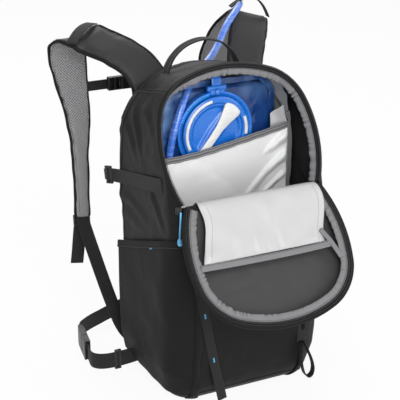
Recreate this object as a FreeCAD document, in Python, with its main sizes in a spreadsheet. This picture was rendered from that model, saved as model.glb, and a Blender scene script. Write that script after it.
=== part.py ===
"""Hydration day pack with its lid hanging open, as a parametric FreeCAD document.

Frame, in millimetres: +Z up, the opening and lid face -Y, the back panel and straps are on +Y, and the
origin is the centre of the base's flat underside.
"""
import FreeCAD, Part
import math
import os

import Sketcher

Vector = FreeCAD.Vector
Placement = FreeCAD.Placement
Rotation = FreeCAD.Rotation

X_AXIS = Vector(1, 0, 0)
Y_AXIS = Vector(0, 1, 0)
Z_AXIS = Vector(0, 0, 1)

# ---------------------------------------------------------------- driving dimensions

DIMENSIONS = {
    # bag shell
    "wall": 2.5,
    "hinge_front": 95.0,
    "hinge_height": 304.0,
    "hinge_half_width": 103.0,
    "rim_lean_deg": 28.15,
    "rim_shoulder_width": 108.0,
    "rim_shoulder_height": 118.0,
    "rim_shoulder_radius": 72.0,
    "rim_crown_width": 66.0,
    "rim_crown_height": 163.0,
    "rim_crown_radius": 179.0,
    "rim_side_radius": 172.0,
    "outer_reach": 135.0,
    "back_side_width": 119.0,
    "back_side_height": 300.0,
    "back_side_radius": 400.0,
    "back_shoulder_width": 110.0,
    "back_shoulder_height": 368.0,
    "back_shoulder_radius": 105.0,
    "back_crown_width": 58.0,
    "back_crown_height": 425.0,
    "back_crown_radius": 136.0,
    "back_face": 92.0,
    "base_panel_height": 16.0,
    "yoke_height": 352.0,
    "back_seam": 70.0,
    "front_seam": 86.0,
    # side pockets
    "pocket_wall": 1.6,
    "pocket_back": 80.0,
    "pocket_hem_back": 190.0,
    "pocket_hem_rise_deg": 22.5,
    # opening and lid
    "zip_tape_width": 7.0,
    "zip_tape_thick": 2.0,
    "binding_width": 10.0,
    "binding_thick": 1.2,
    "lid_open_lean_deg": 38.0,
    "lid_depth": 16.0,
    "lid_foot_half_width": 101.0,
    "lid_wall": 2.5,
    "lid_margin": 6.0,
    "lid_fold_gap": 4.0,
    "lid_slope_length": 66.0,
    "lid_pocket_length": 80.0,
    "lid_pocket_half_width": 84.0,
    "lid_hem_width": 10.0,
    "lid_running_gap": 0.4,
    # reservoir
    "reservoir_half_width": 97.0,
    "reservoir_front": 22.0,
    "reservoir_back": 70.0,
    "reservoir_bottom": 46.0,
    "reservoir_top": 417.0,
    "collar_radius": 58.0,
    "collar_height": 357.0,
    "cap_radius": 51.0,
    "sleeve_front": 4.5,
    "sleeve_thick": 1.5,
    "sleeve_left_height": 329.0,
    "sleeve_right_height": 356.0,
    # hose
    "hose_diameter": 10.0,
    # webbing and straps
    "webbing_width": 20.0,
    "webbing_thick": 1.6,
    "pad_thick": 8.0,
    "mesh_thick": 1.6,
    "handle_half_span": 54.0,
    "handle_rise": 478.0,
}

# Bag sections from the base up: height, half width, front face, back face, front and back corner radius.
BAG_SECTIONS = [
    (0.0, 92.0, 70.0, 78.0, 26.0, 16.0),
    (14.0, 106.0, 90.0, 88.0, 36.0, 18.0),
    (45.0, 110.0, 100.0, 91.5, 38.0, 20.0),
    (120.0, 111.0, 105.5, 92.0, 38.0, 20.0),
    (200.0, 112.0, 104.0, 92.0, 36.0, 20.0),
    (262.0, 115.0, 99.0, 92.0, 24.0, 20.0),
    (304.0, 118.0, 95.0, 92.0, 12.0, 20.0),
    (360.0, 118.0, 93.0, 92.0, 12.0, 20.0),
    (420.0, 116.0, 92.0, 92.0, 12.0, 20.0),
    (490.0, 112.0, 92.0, 92.0, 12.0, 20.0),
]
# Outer face of the stretch side pockets, in the same columns.
POCKET_SECTIONS = [
    (0.0, 96.0, 69.0, 80.0, 28.0, 18.0),
    (14.0, 113.0, 89.0, 89.0, 38.0, 20.0),
    (50.0, 119.5, 99.5, 91.0, 42.0, 20.0),
    (120.0, 121.0, 104.5, 91.5, 42.0, 20.0),
    (200.0, 121.0, 103.0, 91.5, 40.0, 20.0),
    (300.0, 121.0, 99.0, 91.5, 36.0, 20.0),
]

# ---------------------------------------------------------------- document, sheet and sizes

doc = FreeCAD.newDocument("HydrationPack")
sheet = doc.addObject("Spreadsheet::Sheet", "Dimensions")
nodes = {}


def section_dimensions(prefix, rows):
    columns = ("height", "half_width", "front", "back", "front_radius", "back_radius")
    return {
        f"{prefix}_{index}_{column}": value
        for index, row in enumerate(rows)
        for column, value in zip(columns, row)
    }


CELLS = {
    **DIMENSIONS,
    **section_dimensions("bag", BAG_SECTIONS),
    **section_dimensions("pocket", POCKET_SECTIONS),
}
for line, (alias, value) in enumerate(CELLS.items(), start=1):
    sheet.set(f"A{line}", alias)
    sheet.set(f"B{line}", str(value))
    sheet.setAlias(f"B{line}", alias)
doc.recompute()


class Size:
    """A length worked out from the sheet: its number, and the expression that gives it."""

    def __init__(self, value, text):
        self.value = float(value)
        self.text = text

    def __add__(self, other):
        other = as_size(other)
        return Size(self.value + other.value, f"({self.text} + {other.text})")

    def __sub__(self, other):
        other = as_size(other)
        return Size(self.value - other.value, f"({self.text} - {other.text})")

    def __mul__(self, factor):
        return Size(self.value * factor, f"({self.text} * {factor})")

    def __neg__(self):
        return Size(-self.value, f"(0 - {self.text})")

    def __float__(self):
        return self.value

    __radd__ = __add__


def as_size(value):
    if isinstance(value, Size):
        return value
    return Size(value, repr(float(value)))


def size(alias):
    return Size(CELLS[alias], f"Dimensions.{alias}")


def number(alias):
    return CELLS[alias]


def bind(thing, name, value):
    """Sets a property and ties it to the sheet."""
    value = as_size(value)
    setattr(thing, name, value.value)
    thing.setExpression(name, value.text)


def node(name, thing, place=None):
    """Names a finished piece, and with it the file that it is written to."""
    thing.Label = name
    if place is not None:
        thing.Placement = place
    nodes[name] = thing
    return thing


# ---------------------------------------------------------------- sketches and solids


def left_centre(start, end, radius):
    """Centre of the arc that runs anticlockwise from start to end."""
    chord = end - start
    middle = (start + end) * 0.5
    height = math.sqrt(max(radius ** 2 - chord.Length ** 2 / 4, 0.0))
    return middle + Vector(-chord.y, chord.x, 0).normalize() * height


def draw_loop(sketch, corners):
    """Draws one closed anticlockwise loop of corners (x, y) or (x, y, radius of the arc that leaves it)."""
    points = [Vector(float(c[0]), float(c[1]), 0) for c in corners]
    first = sketch.GeometryCount
    count = len(corners)
    for index, corner in enumerate(corners):
        start = points[index]
        end = points[(index + 1) % count]
        if len(corner) == 2:
            sketch.addGeometry(Part.LineSegment(start, end), False)
            continue
        centre = left_centre(start, end, float(corner[2]))
        angles = [math.atan2(p.y - centre.y, p.x - centre.x) for p in (start, end)]
        circle = Part.Circle(centre, Z_AXIS, float(corner[2]))
        sketch.addGeometry(Part.ArcOfCircle(circle, *angles), False)
    for index, corner in enumerate(corners):
        here = first + index
        following = first + (index + 1) % count
        sketch.addConstraint(Sketcher.Constraint("Coincident", here, 2, following, 1))
        for kind, axis, value in (("DistanceX", -2, corner[0]), ("DistanceY", -1, corner[1])):
            if float(value) == 0.0:
                sketch.addConstraint(Sketcher.Constraint("PointOnObject", here, 1, axis))
                continue
            tie(sketch, Sketcher.Constraint(kind, here, 1, float(value)), value)
        if len(corner) == 3:
            tie(sketch, Sketcher.Constraint("Radius", here, float(corner[2])), corner[2])


def draw_circle(sketch, x, y, radius):
    centre = Vector(float(x), float(y), 0)
    here = sketch.addGeometry(Part.Circle(centre, Z_AXIS, float(radius)), False)
    tie(sketch, Sketcher.Constraint("Radius", here, float(radius)), radius)
    for kind, axis, value in (("DistanceX", -2, x), ("DistanceY", -1, y)):
        if float(value) == 0.0:
            sketch.addConstraint(Sketcher.Constraint("PointOnObject", here, 3, axis))
        else:
            tie(sketch, Sketcher.Constraint(kind, here, 3, float(value)), value)


def tie(sketch, constraint, value):
    """Adds a dimension to a sketch and, where it comes from the sheet, its expression."""
    index = sketch.addConstraint(constraint)
    if isinstance(value, Size):
        sketch.setExpression(f"Constraints[{index}]", value.text)


def draw(sketch, loops):
    for loop in loops:
        if loop[0] == "circle":
            draw_circle(sketch, *loop[1:])
        else:
            draw_loop(sketch, loop)


def sketch_at(name, place, loops):
    sketch = doc.addObject("Sketcher::SketchObject", name)
    sketch.Placement = place
    draw(sketch, loops)
    return sketch


def plate(name, loops, thick, place=None):
    """A PartDesign body: an outline, with its holes, padded upwards from its own XY plane."""
    body = doc.addObject("PartDesign::Body", name)
    sketch = body.newObject("Sketcher::SketchObject", f"{name}_outline")
    plane = next(f for f in body.Origin.OriginFeatures if f.Role == "XY_Plane")
    sketch.AttachmentSupport = [(plane, "")]
    sketch.MapMode = "FlatFace"
    draw(sketch, loops)
    pad = body.newObject("PartDesign::Pad", f"{name}_pad")
    pad.Profile = sketch
    bind(pad, "Length", thick)
    if place is not None:
        body.Placement = place
    return body


def loft(name, sections, ruled=False):
    piece = doc.addObject("Part::Loft", name)
    piece.Sections = sections
    piece.Solid = True
    piece.Ruled = ruled
    return piece


def box(name, low, high, place=None):
    """A box from its two corners, in the frame of its placement."""
    piece = doc.addObject("Part::Box", name)
    low = [as_size(v) for v in low]
    high = [as_size(v) for v in high]
    for side, start, end in zip(("Length", "Width", "Height"), low, high):
        bind(piece, side, end - start)
    corner = Placement(Vector(*[v.value for v in low]), Rotation())
    piece.Placement = place.multiply(corner) if place else corner
    return piece


def cut(name, base, *tools):
    for index, tool in enumerate(tools):
        piece = doc.addObject("Part::Cut", f"{name}_{index}")
        piece.Base = base
        piece.Tool = tool
        base = piece
    return base


def common(name, base, *tools):
    for index, tool in enumerate(tools):
        piece = doc.addObject("Part::Common", f"{name}_{index}")
        piece.Base = base
        piece.Tool = tool
        base = piece
    return base


def fuse(name, *pieces):
    piece = doc.addObject("Part::MultiFuse", name)
    piece.Shapes = list(pieces)
    return piece


def feature(name, shape):
    piece = doc.addObject("Part::Feature", name)
    piece.Shape = shape
    return piece


def turned(angle, axis=X_AXIS, at=Vector(0, 0, 0)):
    return Placement(at, Rotation(axis, angle))


def rectangle(x_low, y_low, x_high, y_high):
    return [(x_low, y_low), (x_high, y_low), (x_high, y_high), (x_low, y_high)]


def rounded(half_x, half_y, radius, x=0.0, y=0.0):
    """A rectangle with rounded corners about a centre."""
    half_x, half_y, radius = as_size(half_x), as_size(half_y), as_size(radius)
    left, right = -half_x + x, half_x + x
    low, high = -half_y + y, half_y + y
    return [
        (left + radius, low),
        (right - radius, low, radius),
        (right, low + radius),
        (right, high - radius, radius),
        (right - radius, high),
        (left + radius, high, radius),
        (left, high - radius),
        (left, low + radius, radius),
    ]


# ---------------------------------------------------------------- soft bands and tubes


def smoothed(rows, steps):
    """Rows of numbers on a smooth curve through the given ones, with steps spans between each pair."""
    last = len(rows) - 1
    fine = []
    for index in range(last):
        before, start, end, after = (rows[min(max(index + offset, 0), last)] for offset in (-1, 0, 1, 2))
        for step in range(steps):
            t = step / steps
            fine.append(tuple(
                b + 0.5 * t * (c - a + t * (2 * a - 5 * b + 4 * c - d + t * (3 * b - 3 * c + d - a)))
                for a, b, c, d in zip(before, start, end, after)
            ))
    return [*fine, tuple(rows[last])]


def ribbon_shape(stations, corner=0.0):
    """A soft band through stations: (centre, across direction, width, thickness)."""
    centres = [Vector(*s[0]) for s in stations]
    wires = []
    for index, (centre, across, width, thick) in enumerate(stations):
        before = centres[max(index - 1, 0)]
        after = centres[min(index + 1, len(centres) - 1)]
        along = (after - before).normalize()
        across = Vector(*across)
        across = (across - along * across.dot(along)).normalize()
        up = across.cross(along).normalize()
        wires.append(section_wire(centres[index], across, up, width, thick, corner))
    band = Part.makeLoft(wires, True, True)
    return band if band.Volume > 0 else band.reversed()


def section_wire(centre, across, up, width, thick, corner):
    """A rectangle, or with a corner cut a long octagon, across the run of a band."""
    w, t, c = width / 2, thick / 2, corner
    flat = [(-w, -t), (w, -t), (w, t), (-w, t)]
    if c:
        flat = [(-w + c, -t), (w - c, -t), (w, -t + c), (w, t - c),
                (w - c, t), (-w + c, t), (-w, t - c), (-w, -t + c)]
    points = [centre + across * a + up * b for a, b in flat]
    return Part.makePolygon(points + points[:1])


def route_wire(points, name):
    """Straight runs joined by tangent arcs, each as large as its two runs allow."""
    points = [Vector(*p) for p in points]
    edges = []
    last = points[0]
    radii = []
    for index in range(1, len(points) - 1):
        here = points[index]
        back = points[index - 1] - here
        ahead = points[index + 1] - here
        turn = math.pi - back.getAngle(ahead)
        reach = 0.45 * min(back.Length, ahead.Length)
        radii.append(reach / math.tan(turn / 2))
        start = here + back.normalize() * reach
        end = here + ahead.normalize() * reach
        bisector = ((start + end) * 0.5 - here).normalize()
        middle = here + bisector * (radii[-1] / math.cos(turn / 2) - radii[-1])
        edges.append(Part.LineSegment(last, start).toShape())
        edges.append(Part.Arc(start, middle, end).toShape())
        last = end
    edges.append(Part.LineSegment(last, points[-1]).toShape())
    wire = Part.Wire(edges)
    print(f"{name}: length {wire.Length:.1f}, radii", " ".join(f"{r:.0f}" for r in radii))
    return wire


def tube_shape(points, diameter, name):
    wire = route_wire(points, name)
    start = wire.Edges[0]
    direction = start.tangentAt(start.FirstParameter)
    ring = Part.Wire([Part.Circle(Vector(*points[0]), direction, diameter / 2).toShape()])
    tube = wire.makePipeShell([ring], True, False)
    expected = math.pi * diameter ** 2 / 4 * wire.Length
    print(f"{name}: volume {tube.Volume:.0f}, section x length {expected:.0f}")
    return tube


# ---------------------------------------------------------------- frames of the opening and the lid

RIM = turned(90 - number("rim_lean_deg"), at=Vector(0, -number("hinge_front"), number("hinge_height")))
HINGE_LIFT = number("zip_tape_thick") + number("lid_running_gap")
HINGE_AT = RIM.multVec(Vector(0, 0, HINGE_LIFT))
LID = turned(270 - number("lid_open_lean_deg"), at=HINGE_AT)
BACK = turned(90, at=Vector(0, number("back_face") + 3.0, 0))


def rim_loop(inset, foot=0.0):
    """The opening's arched outline in the rim plane, drawn in by inset, starting foot above the hinge."""
    inset = as_size(inset)
    side = size("hinge_half_width") - inset
    shoulder = (size("rim_shoulder_width") - inset * 0.93, size("rim_shoulder_height") - inset * 0.35)
    crown = (size("rim_crown_width") - inset * 0.55, size("rim_crown_height") - inset * 0.84)
    return arch_loop(side, foot, shoulder, crown, inset)


def arch_loop(side, foot, shoulder, crown, inset):
    side_radius = size("rim_side_radius") - inset
    shoulder_radius = size("rim_shoulder_radius") - inset
    crown_radius = size("rim_crown_radius") - inset
    return [
        (-side, foot),
        (side, foot, side_radius),
        (shoulder[0], shoulder[1], shoulder_radius),
        (crown[0], crown[1], crown_radius),
        (-crown[0], crown[1], shoulder_radius),
        (-shoulder[0], shoulder[1], side_radius),
    ]


def front_arch(inset):
    """The bag's outline in the rim plane, carried on below the hinge past the base."""
    loop = rim_loop(inset)
    reach = size("outer_reach")
    low = -(size("hinge_height") + 60.0)
    return [(-reach, low), (reach, low), (reach, -60.0), *loop[1:], loop[0], (-reach, -60.0)]


def back_arch(inset):
    """The bag's outline at the back panel: lower shoulders and crown than at the rim."""
    inset = as_size(inset)
    reach = size("outer_reach")
    side = (size("back_side_width") - inset, size("back_side_height"))
    shoulder = (size("back_shoulder_width") - inset * 0.93, size("back_shoulder_height") - inset * 0.35)
    crown = (size("back_crown_width") - inset * 0.4, size("back_crown_height") - inset * 0.9)
    side_radius = size("back_side_radius") - inset
    shoulder_radius = size("back_shoulder_radius") - inset
    return [
        (-reach, -60.0),
        (reach, -60.0),
        (reach, side[1] - 60.0),
        (side[0], side[1], side_radius),
        (shoulder[0], shoulder[1], shoulder_radius),
        (crown[0], crown[1], size("back_crown_radius") - inset),
        (-crown[0], crown[1], shoulder_radius),
        (-shoulder[0], shoulder[1], side_radius),
        (-side[0], side[1]),
        (-reach, side[1] - 60.0),
    ]


# ---------------------------------------------------------------- bag shell


def section_loft(name, prefix, count, inset=0.0):
    """A bag-shaped solid through rounded sections, drawn in by inset on the sides, front, back and base."""
    sketches = []
    for index in range(count):
        column = {
            key: size(f"{prefix}_{index}_{key}")
            for key in ("height", "half_width", "front", "back", "front_radius", "back_radius")
        }
        half = column["half_width"] - inset
        front = -(column["front"] - inset)
        back = column["back"] - inset
        near = column["front_radius"] - inset
        far = column["back_radius"] - inset
        loop = [
            (-half + near, front),
            (half - near, front, near),
            (half, front + near),
            (half, back - far, far),
            (half - far, back),
            (-half + far, back, far),
            (-half, back - far),
            (-half, front + near, near),
        ]
        height = column["height"].value + (inset if index == 0 else 0.0)
        sketches.append(sketch_at(f"{name}_section_{index}", turned(0, at=Vector(0, 0, height)), [loop]))
    return loft(f"{name}_loft", sketches)


def arch_loft(name, inset=0.0):
    front = sketch_at(f"{name}_front", RIM, [front_arch(inset)])
    back = sketch_at(f"{name}_back", BACK, [back_arch(inset)])
    return loft(f"{name}_arch", [back, front], ruled=True)


def bag_solid(name, inset=0.0):
    return common(name, section_loft(name, "bag", len(BAG_SECTIONS), inset), arch_loft(name, inset))


FAR = 600.0
wall = number("wall")
outer_solid = cut("bag_outer", bag_solid("outer"), box("rim_wedge", (-FAR, -FAR, 0), (FAR, FAR, FAR), RIM))
inner_solid = bag_solid("inner", wall)
shell = cut("bag_shell", outer_solid, inner_solid)


def shell_region(name, low, high):
    return common(name, shell, box(f"{name}_region", low, high))


base_top = size("base_panel_height")
yoke = size("yoke_height")
seam = size("back_seam")
side_seam = size("front_seam")
node("base_panel", shell_region("base", (-FAR, -FAR, -10.0), (FAR, FAR, base_top)))
back_blank = shell_region("back", (-FAR, seam, base_top), (FAR, FAR, FAR))
node("top_panel", shell_region("top", (-FAR, -FAR, yoke), (FAR, seam, FAR)))
node("front_panel", shell_region("front", (-side_seam, -FAR, base_top), (side_seam, 0.0, yoke)))
node("left_side_panel", shell_region("left_side", (-FAR, -FAR, base_top), (-side_seam, seam, yoke)))
node("right_side_panel", shell_region("right_side", (side_seam, -FAR, base_top), (FAR, seam, yoke)))

# ---------------------------------------------------------------- side pockets

pocket_outer = section_loft("pocket_outer", "pocket", len(POCKET_SECTIONS))
pocket_inner = section_loft("pocket_inner", "pocket", len(POCKET_SECTIONS), number("pocket_wall"))
hem_plane = turned(
    -number("pocket_hem_rise_deg"),
    at=Vector(0, number("pocket_back"), number("pocket_hem_back")),
)


def side_pocket(name, side):
    """A stretch pocket over the side panel, sewn along its front, back and base, open at the hem."""
    near, far = sorted((side * (number("front_seam") + 2.0), side * FAR))
    block = box(f"{name}_block", (near, -FAR, 2.0), (far, size("pocket_back"), 320.0))
    near, far = sorted((side * (number("front_seam") + 10.0), side * FAR))
    room = box(f"{name}_room", (near, -FAR, 18.0), (far, size("pocket_back") - 6.0, 330.0))
    cavity = common(f"{name}_cavity", pocket_inner, room)
    above = box(f"{name}_above", (-FAR, -FAR, 0.0), (FAR, FAR, FAR), hem_plane)
    pocket = cut(f"{name}_shape", common(f"{name}_skin", pocket_outer, block), outer_solid, cavity, above)
    return node(name, pocket)


side_pocket("left_side_pocket", -1)
side_pocket("right_side_pocket", 1)

# ---------------------------------------------------------------- opening trim, in the rim plane


def arched_band(name, outer, inner, thick, foot, place):
    """A flat band round the arch of the opening, open along the hinge."""
    ring = plate(f"{name}_ring", [rim_loop(outer, foot)], thick, place)
    hole = plate(f"{name}_hole", [rim_loop(inner, -20.0)], as_size(thick) + 4.0,
                 place.multiply(turned(0, at=Vector(0, 0, -2.0))))
    return cut(name, ring, hole)


tape_thick = size("zip_tape_thick")
tape_width = size("zip_tape_width")
binding_thick = size("binding_thick")
node("opening_zip_tape", arched_band("opening_tape", 0.0, tape_width, tape_thick, 2.0, RIM))
binding_at = RIM.multiply(turned(0, at=Vector(0, 0, -number("binding_thick") - 0.3)))
binding_outline = arched_band(
    "opening_binding_band", wall + 0.3, size("binding_width") + wall, binding_thick, 2.0, binding_at
)
node("opening_binding", common("opening_binding_trim", binding_outline, inner_solid))

# ---------------------------------------------------------------- lid, drawn in its own plane at the hinge

margin = -size("lid_margin")
fold = size("lid_fold_gap")
depth = size("lid_depth")
lid_wall = size("lid_wall")
lid_tape = number("zip_tape_thick") * 0.65
SIDE_VIEW = turned(90, Y_AXIS).multiply(turned(90, Z_AXIS))


def lid_loop(inset, lift=0.0):
    """The lid's outline: a margin larger than the opening, with its corners drawn in beside the fold."""
    loop = rim_loop(margin + inset, fold + lift)
    side = size("lid_foot_half_width") - inset
    return [(-side, fold + lift), (side, fold + lift, loop[1][2]), *loop[2:]]


def lid_band(name, outer, inner, thick):
    ring = plate(f"{name}_ring", [lid_loop(outer)], thick, LID)
    hole = plate(f"{name}_hole", [lid_loop(inner, -24.0)], as_size(thick) + 4.0,
                 LID.multiply(turned(0, at=Vector(0, 0, -2.0))))
    return cut(name, ring, hole)


def lid_wedge(name, inset):
    """Side view of the lid: thin at the fold, full depth past its slope; extruded right across."""
    # in this view x runs from the hinge to the tip and y outwards from the rim plane
    start = fold + inset
    deep = depth - inset
    loop = [
        (start, lid_tape - (5.0 if inset else 0.0)),
        (300.0, lid_tape - (5.0 if inset else 0.0)),
        (300.0, deep),
        (size("lid_slope_length") + inset, deep),
        (start, 3.4 - inset * 0.5),
    ]
    across = LID.multiply(turned(0, at=Vector(-150.0, 0, 0))).multiply(SIDE_VIEW)
    return plate(name, [loop], 300.0, across)


lid_block = plate("lid_block", [lid_loop(0.0)], depth + 6.0, LID)
lid_hollow = plate("lid_hollow", [lid_loop(lid_wall, 2.0)], depth + 8.0,
                   LID.multiply(turned(0, at=Vector(0, 0, -4.0))))
lid_outer = common("lid_outer", lid_block, lid_wedge("lid_side", 0.0))
lid_inner = common("lid_inner", lid_hollow, lid_wedge("lid_side_inside", number("lid_wall")))
node("lid_panel", cut("lid_shell", lid_outer, lid_inner))
node("lid_zip_tape", lid_band("lid_tape", 0.0, tape_width, lid_tape))
lining_edge = tape_width + size("binding_width")
node("lid_binding", lid_band("lid_lining_band", tape_width, lining_edge, binding_thick))

LID_POCKET = LID.multiply(turned(0, at=Vector(0, 0, lid_tape)))
pocket_half = size("lid_pocket_half_width")
pocket_end = size("lid_pocket_length")
hem_width = size("lid_hem_width")
pocket_sheet = rectangle(-pocket_half, 9.0, pocket_half, pocket_end)
node("lid_pocket_panel", plate("lid_pocket", [pocket_sheet], 1.2, LID_POCKET))
hem_strip = rectangle(-130.0, pocket_end, 130.0, pocket_end + hem_width)
lid_hem_band = plate("lid_hem_band", [hem_strip], 1.6, LID_POCKET)
node("lid_pocket_hem", common("lid_hem_trim", lid_hem_band, lid_hollow))

# ---------------------------------------------------------------- reservoir, cap and sleeve

COLLAR_BACK = 24.0
reservoir_middle = (number("reservoir_front") + number("reservoir_back")) / 2
reservoir_depth = (number("reservoir_back") - number("reservoir_front")) / 2
reservoir_half = number("reservoir_half_width")


def reservoir_section(index, height, half_width, half_depth):
    place = turned(0, at=Vector(0, reservoir_middle, height))
    corner = half_depth * 0.9
    return sketch_at(f"reservoir_section_{index}", place, [rounded(half_width, half_depth, corner)])


reservoir_sections = [
    (number("reservoir_bottom"), reservoir_half - 16.0, 5.0),
    (number("reservoir_bottom") + 24.0, reservoir_half - 3.0, reservoir_depth - 3.0),
    (number("reservoir_bottom") + 70.0, reservoir_half, reservoir_depth),
    (number("collar_height") - 20.0, reservoir_half, reservoir_depth),
    (number("reservoir_top") - 36.0, reservoir_half - 4.0, reservoir_depth - 7.0),
    (number("reservoir_top") - 14.0, reservoir_half - 18.0, reservoir_depth - 14.0),
    (number("reservoir_top"), reservoir_half - 36.0, 3.0),
]
reservoir_outlines = [reservoir_section(i, *row) for i, row in enumerate(reservoir_sections)]
reservoir = loft("reservoir_loft", reservoir_outlines, True)
node("reservoir_bag", reservoir)


def facing_front(y, x=0.0, z=0.0):
    """A frame whose XY plane stands upright at depth y and whose pads grow towards the front."""
    return turned(90, at=Vector(x, y, z))


def disc(name, radius, bore, thick, y):
    loops = [("circle", 0.0, 0.0, radius)]
    if bore is not None:
        loops.append(("circle", 0.0, 0.0, bore))
    return plate(name, loops, thick, facing_front(y, z=number("collar_height")))


cap_radius = size("cap_radius")
bore_radius = cap_radius - 5.0
collar = disc("collar_ring", size("collar_radius"), bore_radius, COLLAR_BACK - 13.0, COLLAR_BACK)
node("reservoir_collar", cut("collar", collar, reservoir))
cap_rim = disc("cap_rim", cap_radius, cap_radius - 8.0, 3.9, 12.7)
cap_floor = disc("cap_floor", cap_radius - 8.0, None, 1.6, 12.7)
cap_skirt = disc("cap_skirt", bore_radius - 1.0, bore_radius - 3.0, 7.3, 20.0)
node("reservoir_cap", fuse("cap", cap_rim, cap_floor, cap_skirt))
handle_turn = turned(90, at=Vector(0, 10.9, number("collar_height"))).multiply(turned(-38.0, Z_AXIS))
grip_outline = [(-6.0, -41.5), (6.0, -41.5), (6.0, 8.0), (11.0, 30.0), (13.0, 40.5), (-13.0, 40.5),
                (-11.0, 30.0), (-6.0, 8.0)]
node("cap_handle", plate("grip", [grip_outline], 2.6, handle_turn))

sleeve_low, sleeve_high = number("sleeve_left_height"), number("sleeve_right_height")
hem_slope = math.degrees(math.atan2(sleeve_high - sleeve_low, 230.0))
hem_place = turned(-hem_slope, Y_AXIS, at=Vector(0, 0, (sleeve_low + sleeve_high) / 2))
sleeve_front = size("sleeve_front")
sleeve_back = sleeve_front + size("sleeve_thick")
sleeve_plate = box("sleeve_plate", (-FAR, sleeve_front, 3.0), (FAR, sleeve_back, FAR))
sleeve_panel = common("sleeve_panel", sleeve_plate, inner_solid)
above_hem = box("above_sleeve", (-FAR, -FAR, -12.0), (FAR, FAR, FAR), hem_place)
node("reservoir_sleeve", cut("sleeve", sleeve_panel, above_hem))
hem_band = box("sleeve_hem_band", (-FAR, sleeve_front - 1.5, -12.0), (FAR, sleeve_back + 1.0, 0.0),
               hem_place)
node("sleeve_hem", common("sleeve_hem_trim", hem_band, inner_solid))

hanger_strap = box("hanger_strap", (-7.0, 17.0, 424.0), (11.0, 18.6, FAR))
hanger_clip = box("hanger_clip", (-13.0, 14.0, 415.5), (17.0, 21.5, 424.0))
node("reservoir_hanger", common("hanger", fuse("hanger_blank", hanger_strap, hanger_clip), inner_solid))

# ---------------------------------------------------------------- drinking hose and its fittings

HOSE = number("hose_diameter")
HOSE_ROUTE = [
    (-46.0, 15.5, 116.0), (-46.0, 15.5, 168.0), (-60.0, 15.0, 226.0), (-71.0, 14.5, 284.0),
    (-71.0, 13.5, 336.0), (-60.0, 11.0, 383.0), (-38.0, 25.0, 416.0), (-12.0, 56.0, 431.5),
    (22.0, 95.0, 427.0), (54.0, 118.0, 443.0), (78.0, 134.0, 473.5), (106.0, 156.0, 487.0),
    (130.0, 187.0, 490.0), (140.0, 217.0, 477.0), (136.0, 241.0, 451.0), (124.0, 252.0, 413.0),
    (113.0, 250.0, 372.0), (105.0, 243.0, 332.0), (101.0, 234.0, 294.0),
]
hose = tube_shape(HOSE_ROUTE, HOSE, "drinking_hose")
node("drinking_hose", feature("hose", hose))


def cylinder(name, radius, length, at, direction):
    piece = doc.addObject("Part::Cylinder", name)
    bind(piece, "Radius", radius)
    bind(piece, "Height", length)
    piece.Placement = Placement(Vector(*at), Rotation(Z_AXIS, Vector(*direction)))
    return piece


elbow_at = HOSE_ROUTE[0]
elbow_boss = cylinder("elbow_boss", 9.0, 10.0, (elbow_at[0], 20.5, 98.0), (0, -1, 0))
elbow_spigot = cylinder("elbow_spigot", 6.5, 18.0, (elbow_at[0], elbow_at[1], 98.0), (0, 0, 1))
node("hose_elbow", fuse("elbow", elbow_boss, elbow_spigot))

port_hole = feature("hose_room", tube_shape(HOSE_ROUTE[6:11], HOSE + 1.0, "hose_room"))
port_blank = cylinder("port_blank", 10.5, 3.0, (18.0, 92.0, 426.0), (0, 1, 0))
node("hose_port", cut("port", port_blank, outer_solid, port_hole))
node("back_panel", cut("back_panel_port", back_blank, port_hole))

valve_top = Vector(*HOSE_ROUTE[-1])
valve_axis = (valve_top - Vector(*HOSE_ROUTE[-2])).normalize()


def on_valve(distance):
    return tuple(valve_top + valve_axis * distance)


node("valve_body", fuse(
    "valve_housing",
    cylinder("valve_barrel", 8.0, 34.0, on_valve(0.0), valve_axis),
    cylinder("valve_neck", 5.5, 12.0, on_valve(34.0), valve_axis),
))
node("bite_valve", cut(
    "bite_sheath",
    cylinder("bite_outer", 10.0, 30.0, on_valve(38.0), valve_axis),
    cylinder("bite_bore", 5.5, 10.0, on_valve(36.0), valve_axis),
))
lever_side = valve_axis.cross(X_AXIS).normalize()
LEVER_AT = valve_top + valve_axis * 17.0 + lever_side * -8.6
node("shutoff_lever", fuse(
    "lever",
    cylinder("lever_hub", 6.0, 3.0, tuple(LEVER_AT), lever_side * -1),
    box("lever_arm", (-2.5, 0.0, 0.0), (2.5, 16.0, 3.0),
        Placement(LEVER_AT, Rotation(Z_AXIS, lever_side * -1))),
))

# ---------------------------------------------------------------- shoulder straps

# Centre line of each strap's padding from its root on the back panel, over the crest, to its lower end:
# x, y, z, width, and how far the inner edge stands above the outer one per millimetre across.
LEFT_STRAP = [
    (-60.0, 96.3, 388.0, 56.0, 0.0),
    (-61.0, 98.5, 412.0, 60.0, 0.05),
    (-71.0, 112.0, 434.0, 61.0, 0.14),
    (-90.0, 133.0, 451.0, 62.0, 0.2),
    (-112.0, 158.0, 462.0, 62.0, 0.26),
    (-129.0, 177.0, 467.0, 63.0, 0.27),
    (-140.0, 196.0, 460.0, 64.0, 0.17),
    (-142.5, 206.5, 438.0, 63.0, 0.06),
    (-138.5, 205.0, 396.0, 56.0, 0.0),
    (-134.5, 198.0, 354.0, 46.0, 0.0),
    (-134.5, 190.5, 318.0, 38.0, 0.0),
    (-136.0, 185.0, 282.0, 32.0, 0.0),
    (-136.5, 179.0, 236.0, 28.0, 0.0),
    (-138.5, 173.0, 192.0, 25.0, 0.0),
]
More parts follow.
